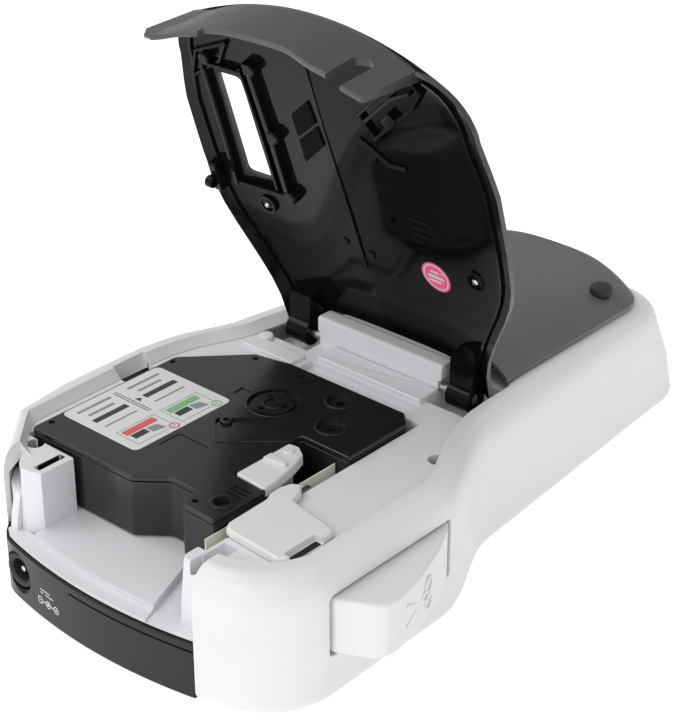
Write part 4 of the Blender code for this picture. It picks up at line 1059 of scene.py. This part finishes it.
def release_lever():
    lo, hi = mm_box("release_lever")
    plan = fillet([(12.7, -61.0), (23.2, -61.8), (22.8, -56.0), (21.0, -47.8), (19.4, -43.0), (16.0, -40.8),
                   (12.8, -41.2)], [0.8, 1.2, 1.0, 1.5, 1.5, 1.5, 1.0])
    z1 = hi[2]
    rib_plan = fillet([(13.4, -52.0), (20.4, -51.0), (20.0, -49.4), (13.4, -48.6)], 0.5)
    parts = [slab(plan, z1 - 3.0, z1, 0.5), slab(rect(12.6, -58.0, 15.0, -42.0, 0.6), lo[2], z1 - 2.6, 0.0),
             slab(rib_plan, z1 - 0.4, z1 + 0.9, 0.4), disc(15.6, -44.4, 1.5, z1 - 0.4, z1 + 0.5, 0.3)]
    piece("lever_plate", merge(*parts), "gear_white", "lever", ["release_lever"])


def cutter_housing():
    z0, z1 = HOUSE_LO[2], HOUSE_HI[2]
    plan = [(26.6, -77.8), (27.6, -79.8), (29.6, -80.6), (46.4, -81.6), (48.2, -80.0), (49.0, -70.0),
            (48.4, -63.4), (43.8, -62.2), (31.8, -60.0), (30.6, -56.0), (28.4, -53.2), (26.0, -54.4),
            (24.9, -57.6), (25.1, -61.5), (26.2, -64.0)]
    slot_cut = pocket(rect(46.2, -79.0, 49.9, -67.6, 0.5), z0 + 0.1, z1, 0.2)
    bm = shape(slab(fillet(plan, 1.2), z0, z1, 0.8), cuts=[slot_cut])
    piece("cutter_cap", bm, "white_shell", "case", ["cutter_housing"])
    # a black plate at the bottom of the blade slot: painted shade for the dark inside of the slot
    dark = slab(rect(46.6, -78.6, 48.6, -68.0, 0.4), z0 - 0.2, z0 + 0.15, 0.05)
    piece("blade_slot_painted_shade", dark, "painted_slot_shade", "case", slot="panel_dark")


def cutter_button():
    plan = [(57.2, -77.0), (60.6, -76.4), (69.4, -72.0), (71.0, -69.6), (71.4, -65.6), (69.6, -55.6),
            (65.4, -43.0), (61.2, -34.6), (58.8, -31.8), (57.2, -32.4)]
    plan = fillet(plan, [0.4, 2.0, 3.0, 2.0, 3.0, 8.0, 8.0, 3.0, 0.8, 0.2], 6)
    bm = slab(plan, BUTTON_Z0, BUTTON_Z1, 1.0, 1.0, 5)
    ear = box((54.2, -36.4, BUTTON_Z0 + 1.2), (58.4, -31.9, BUTTON_Z1 - 1.2))
    pin = disc(*mm_centre("button_pivot_pin"), 1.2, BUTTON_Z0 - 1, BUTTON_Z1 + 1)
    bm = shape(bm, joins=[ear], cuts=[pin])
    piece("button_cap", bm, "white_shell", "button", ["cutter_button"])
    a, b = Vector((71.0, -64.0)), Vector((66.6, -46.6))
    d = (b - a).normalized()
    n = Vector((d.y, -d.x))
    if n.x < 0:
        n = -n
    mid = (a + b) / 2
    z = (BUTTON_Z0 + BUTTON_Z1) / 2

    def face_at(u):
        """Distance of the button's face along n at u from the middle."""
        return 0.55 * (1 - (u / 9.5) ** 2)

    def plate(points, depths=(-0.8, 0.28)):
        rings = []
        for t in depths:
            ring = []
            for u, v in points:
                p = mid + d * u + n * (face_at(u) + t)
                ring.append((p.x, p.y, z + v))
            rings.append(ring)
        return loft(rings)

    def ringed(u, v, r):
        return shape(plate(circle(u, v, r, 24)), cuts=[plate(circle(u, v, r - 0.55, 20), (-2.0, 2.0))])

    blades = [plate([(-6.8, 3.6), (-7.2, 2.8), (2.6, -1.9), (3.1, -1.0)]),
              plate([(-7.2, -2.8), (-6.8, -3.6), (3.1, 1.0), (2.6, 1.9)])]
    bm = merge(*blades, ringed(4.9, 2.5, 2.3), ringed(4.9, -2.5, 2.3))
    piece("scissors_emboss", bm, "white_shell", "button")


# ---------------------------------------------------------------- keyboard face

ROUND_KEYS = ("power_key", "print_key", "navigation_ring")
LONG_KEYS = ("clear_key", "save_key")
KEY_BODIES = {"power_key": "key_power", "ok_key": "key_ok", "print_key": "key_print",
              "navigation_ring": "key_navigation", "clear_key": "key_clear", "save_key": "key_save"}
KEY_COLUMNS, KEY_ROWS = 6, 5


def grown(node, d, r):
    """The node's plan box, moved out by d and rounded by r."""
    lo, hi = mm_box(node)
    return rect(lo[0] - d, lo[1] - d, hi[0] + d, hi[1] + d, r)


def keyboard_face():
    rings = [case_ring(z, 6.8 + e, 6.8 + e, 6.8 + e)
             for z, e in ((0.0, 0.4), (0.15, 0.1), (0.5, 0.0), (FACE_TOP, 0.0))]
    cuts = [prism(grown("lcd_module", 2.4, 2.0), -1, 0.9), prism(grown("lcd_module", 0.4, 1.0), -1, 4),
            prism(grown("keypad", -1, 1.0), -1, 4)]
    half = {node: (mm_box(node)[1][0] - mm_box(node)[0][0]) / 2 for node in KEY_BODIES}
    cuts += [disc(*mm_centre(node), half[node] + 0.38, -1, 4) for node in ROUND_KEYS]
    cuts += [prism(grown(node, 0.35, 1.6), -1, 4) for node in LONG_KEYS]
    piece("face_plate", shape(loft(rings), cuts=cuts), "white_shell", "case", ["front_cover"])
    lo, hi = mm_box("display_window")
    pane = slab(grown("display_window", 0, 1.8), lo[2], hi[2], 0.1, 0.15)
    piece("window_pane", pane, "clear_window", "case", ["display_window"])
    lo, hi = mm_box("keypad")
    parts = [slab(grown("keypad", 0, 1.0), FACE_TOP + 0.3, hi[2], 0.1)]
    x0, y0 = lo[0] + 1, lo[1] + 1
    dx, dy = (hi[0] - 1 - x0) / KEY_COLUMNS, (hi[1] - 1 - y0) / KEY_ROWS
    for row in range(KEY_ROWS):
        for column in range(KEY_COLUMNS):
            x, y = x0 + dx * (column + 0.5), y0 + dy * (row + 0.5)
            key = rect(x - dx * 0.36, y - dy * 0.33, x + dx * 0.36, y + dy * 0.33, 1.6)
            parts.append(slab(key, 0.6, FACE_TOP + 0.6, 0.0, 0.6))
    piece("key_mat", merge(*parts), "key_rubber", "case", ["keypad"])
    for node, body in KEY_BODIES.items():
        lo, hi = mm_box(node)
        x, y = mm_centre(node)
        if node in LONG_KEYS:
            bm = slab(grown(node, 0, 1.4), lo[2], hi[2], 0.0, 0.6)
        elif node == "navigation_ring":
            bm = washer(x, y, half[node], 5.7, lo[2], hi[2], 0.0, 0.7)
        else:
            bm = disc(x, y, half[node], lo[2], hi[2], 0.0, 0.7)
        piece(node + "_cap", bm, "key_light", body, [node])


def details():
    for node in ("case_screw_1", "case_screw_2"):
        x, y = mm_centre(node)
        lo, hi = mm_box(node)
        z0, z1 = lo[2], hi[2]
        head = lathe([(1.9, z0), (2.0, z0 + 0.3), (1.9, z1 - 0.5), (1.4, z1 - 0.15), (0.0, z1)], x, y, 28)
        cross = [box((x - a, y - b, z1 - 0.6), (x + a, y + b, z1 + 2)) for a, b in ((1.1, 0.25), (0.25, 1.1))]
        piece(node + "_head", shape(head, cuts=cross), "steel", "case", [node])


back_case()
end_panel()
polarity_marks()
dc_jack()
chassis()
cassette_lid()
lid_details()
round_sticker()
battery_cover()
cassette()
sticker()
release_lever()
cutter_housing()
cutter_button()
keyboard_face()
details()


# ---------------------------------------------------------------- floor, light and camera

def area(name, place, size, power):
    data = bpy.data.lights.new(name, "AREA")
    data.shape = "RECTANGLE"
    data.size = data.size_y = size
    data.energy = power
    light = add_object(name, data)
    light.location = place
    light.rotation_euler = (Vector((0, 0, 0.03)) - Vector(place)).to_track_quat("-Z", "Y").to_euler()


def studio():
    data = bpy.data.meshes.new("floor")
    corners = rect(-6.0, -6.0, 6.0, 6.0)
    data.from_pydata([(x, y, FRAME_LO.z - 0.0002) for x, y in corners], [], [(0, 1, 2, 3)])
    floor = add_object("floor", data)
    pale = finish("floor_pale", (0.94, 0.94, 0.94), 0.6, 0.0, 0.004)
    glow = pale.node_tree.nodes["Principled BSDF"]
    socket(glow, "Emission Color", "Emission").default_value = (1.0, 1.0, 1.0, 1.0)
    glow.inputs["Emission Strength"].default_value = 0.45
    data.materials.append(pale)
    world = bpy.context.scene.world or bpy.data.worlds.new("world")
    bpy.context.scene.world = world
    world.use_nodes = True
    back = world.node_tree.nodes["Background"]
    back.inputs["Color"].default_value = (1.0, 1.0, 1.0, 1.0)
    back.inputs["Strength"].default_value = 0.56
    area("key_light", (-0.55, -0.35, 0.95), 0.7, 4.2)
    area("fill_light", (0.75, -0.55, 0.60), 0.6, 1.6)
    area("front_light", (0.10, -0.95, 0.55), 0.5, 2.3)
    bpy.context.scene.view_settings.view_transform = "Standard"


def camera():
    azimuth, elevation, distance = math.radians(41.7), math.radians(28.4), 0.547
    target = Vector((-10.85, 5.15, 37.4)) * MM
    back = Vector((math.sin(azimuth) * math.cos(elevation), -math.cos(azimuth) * math.cos(elevation),
                   math.sin(elevation)))
    data = bpy.data.cameras.new("camera")
    data.sensor_width = 36.0
    data.lens = 96.23
    data.clip_start, data.clip_end = 0.01, 50.0
    obj = add_object("camera", data)
    obj.location = target + back * distance
    obj.rotation_euler = (-back).to_track_quat("-Z", "Y").to_euler()
    bpy.context.scene.camera = obj
    render = bpy.context.scene.render
    render.resolution_x, render.resolution_y, render.resolution_percentage = 679, 716, 100


studio()
camera()
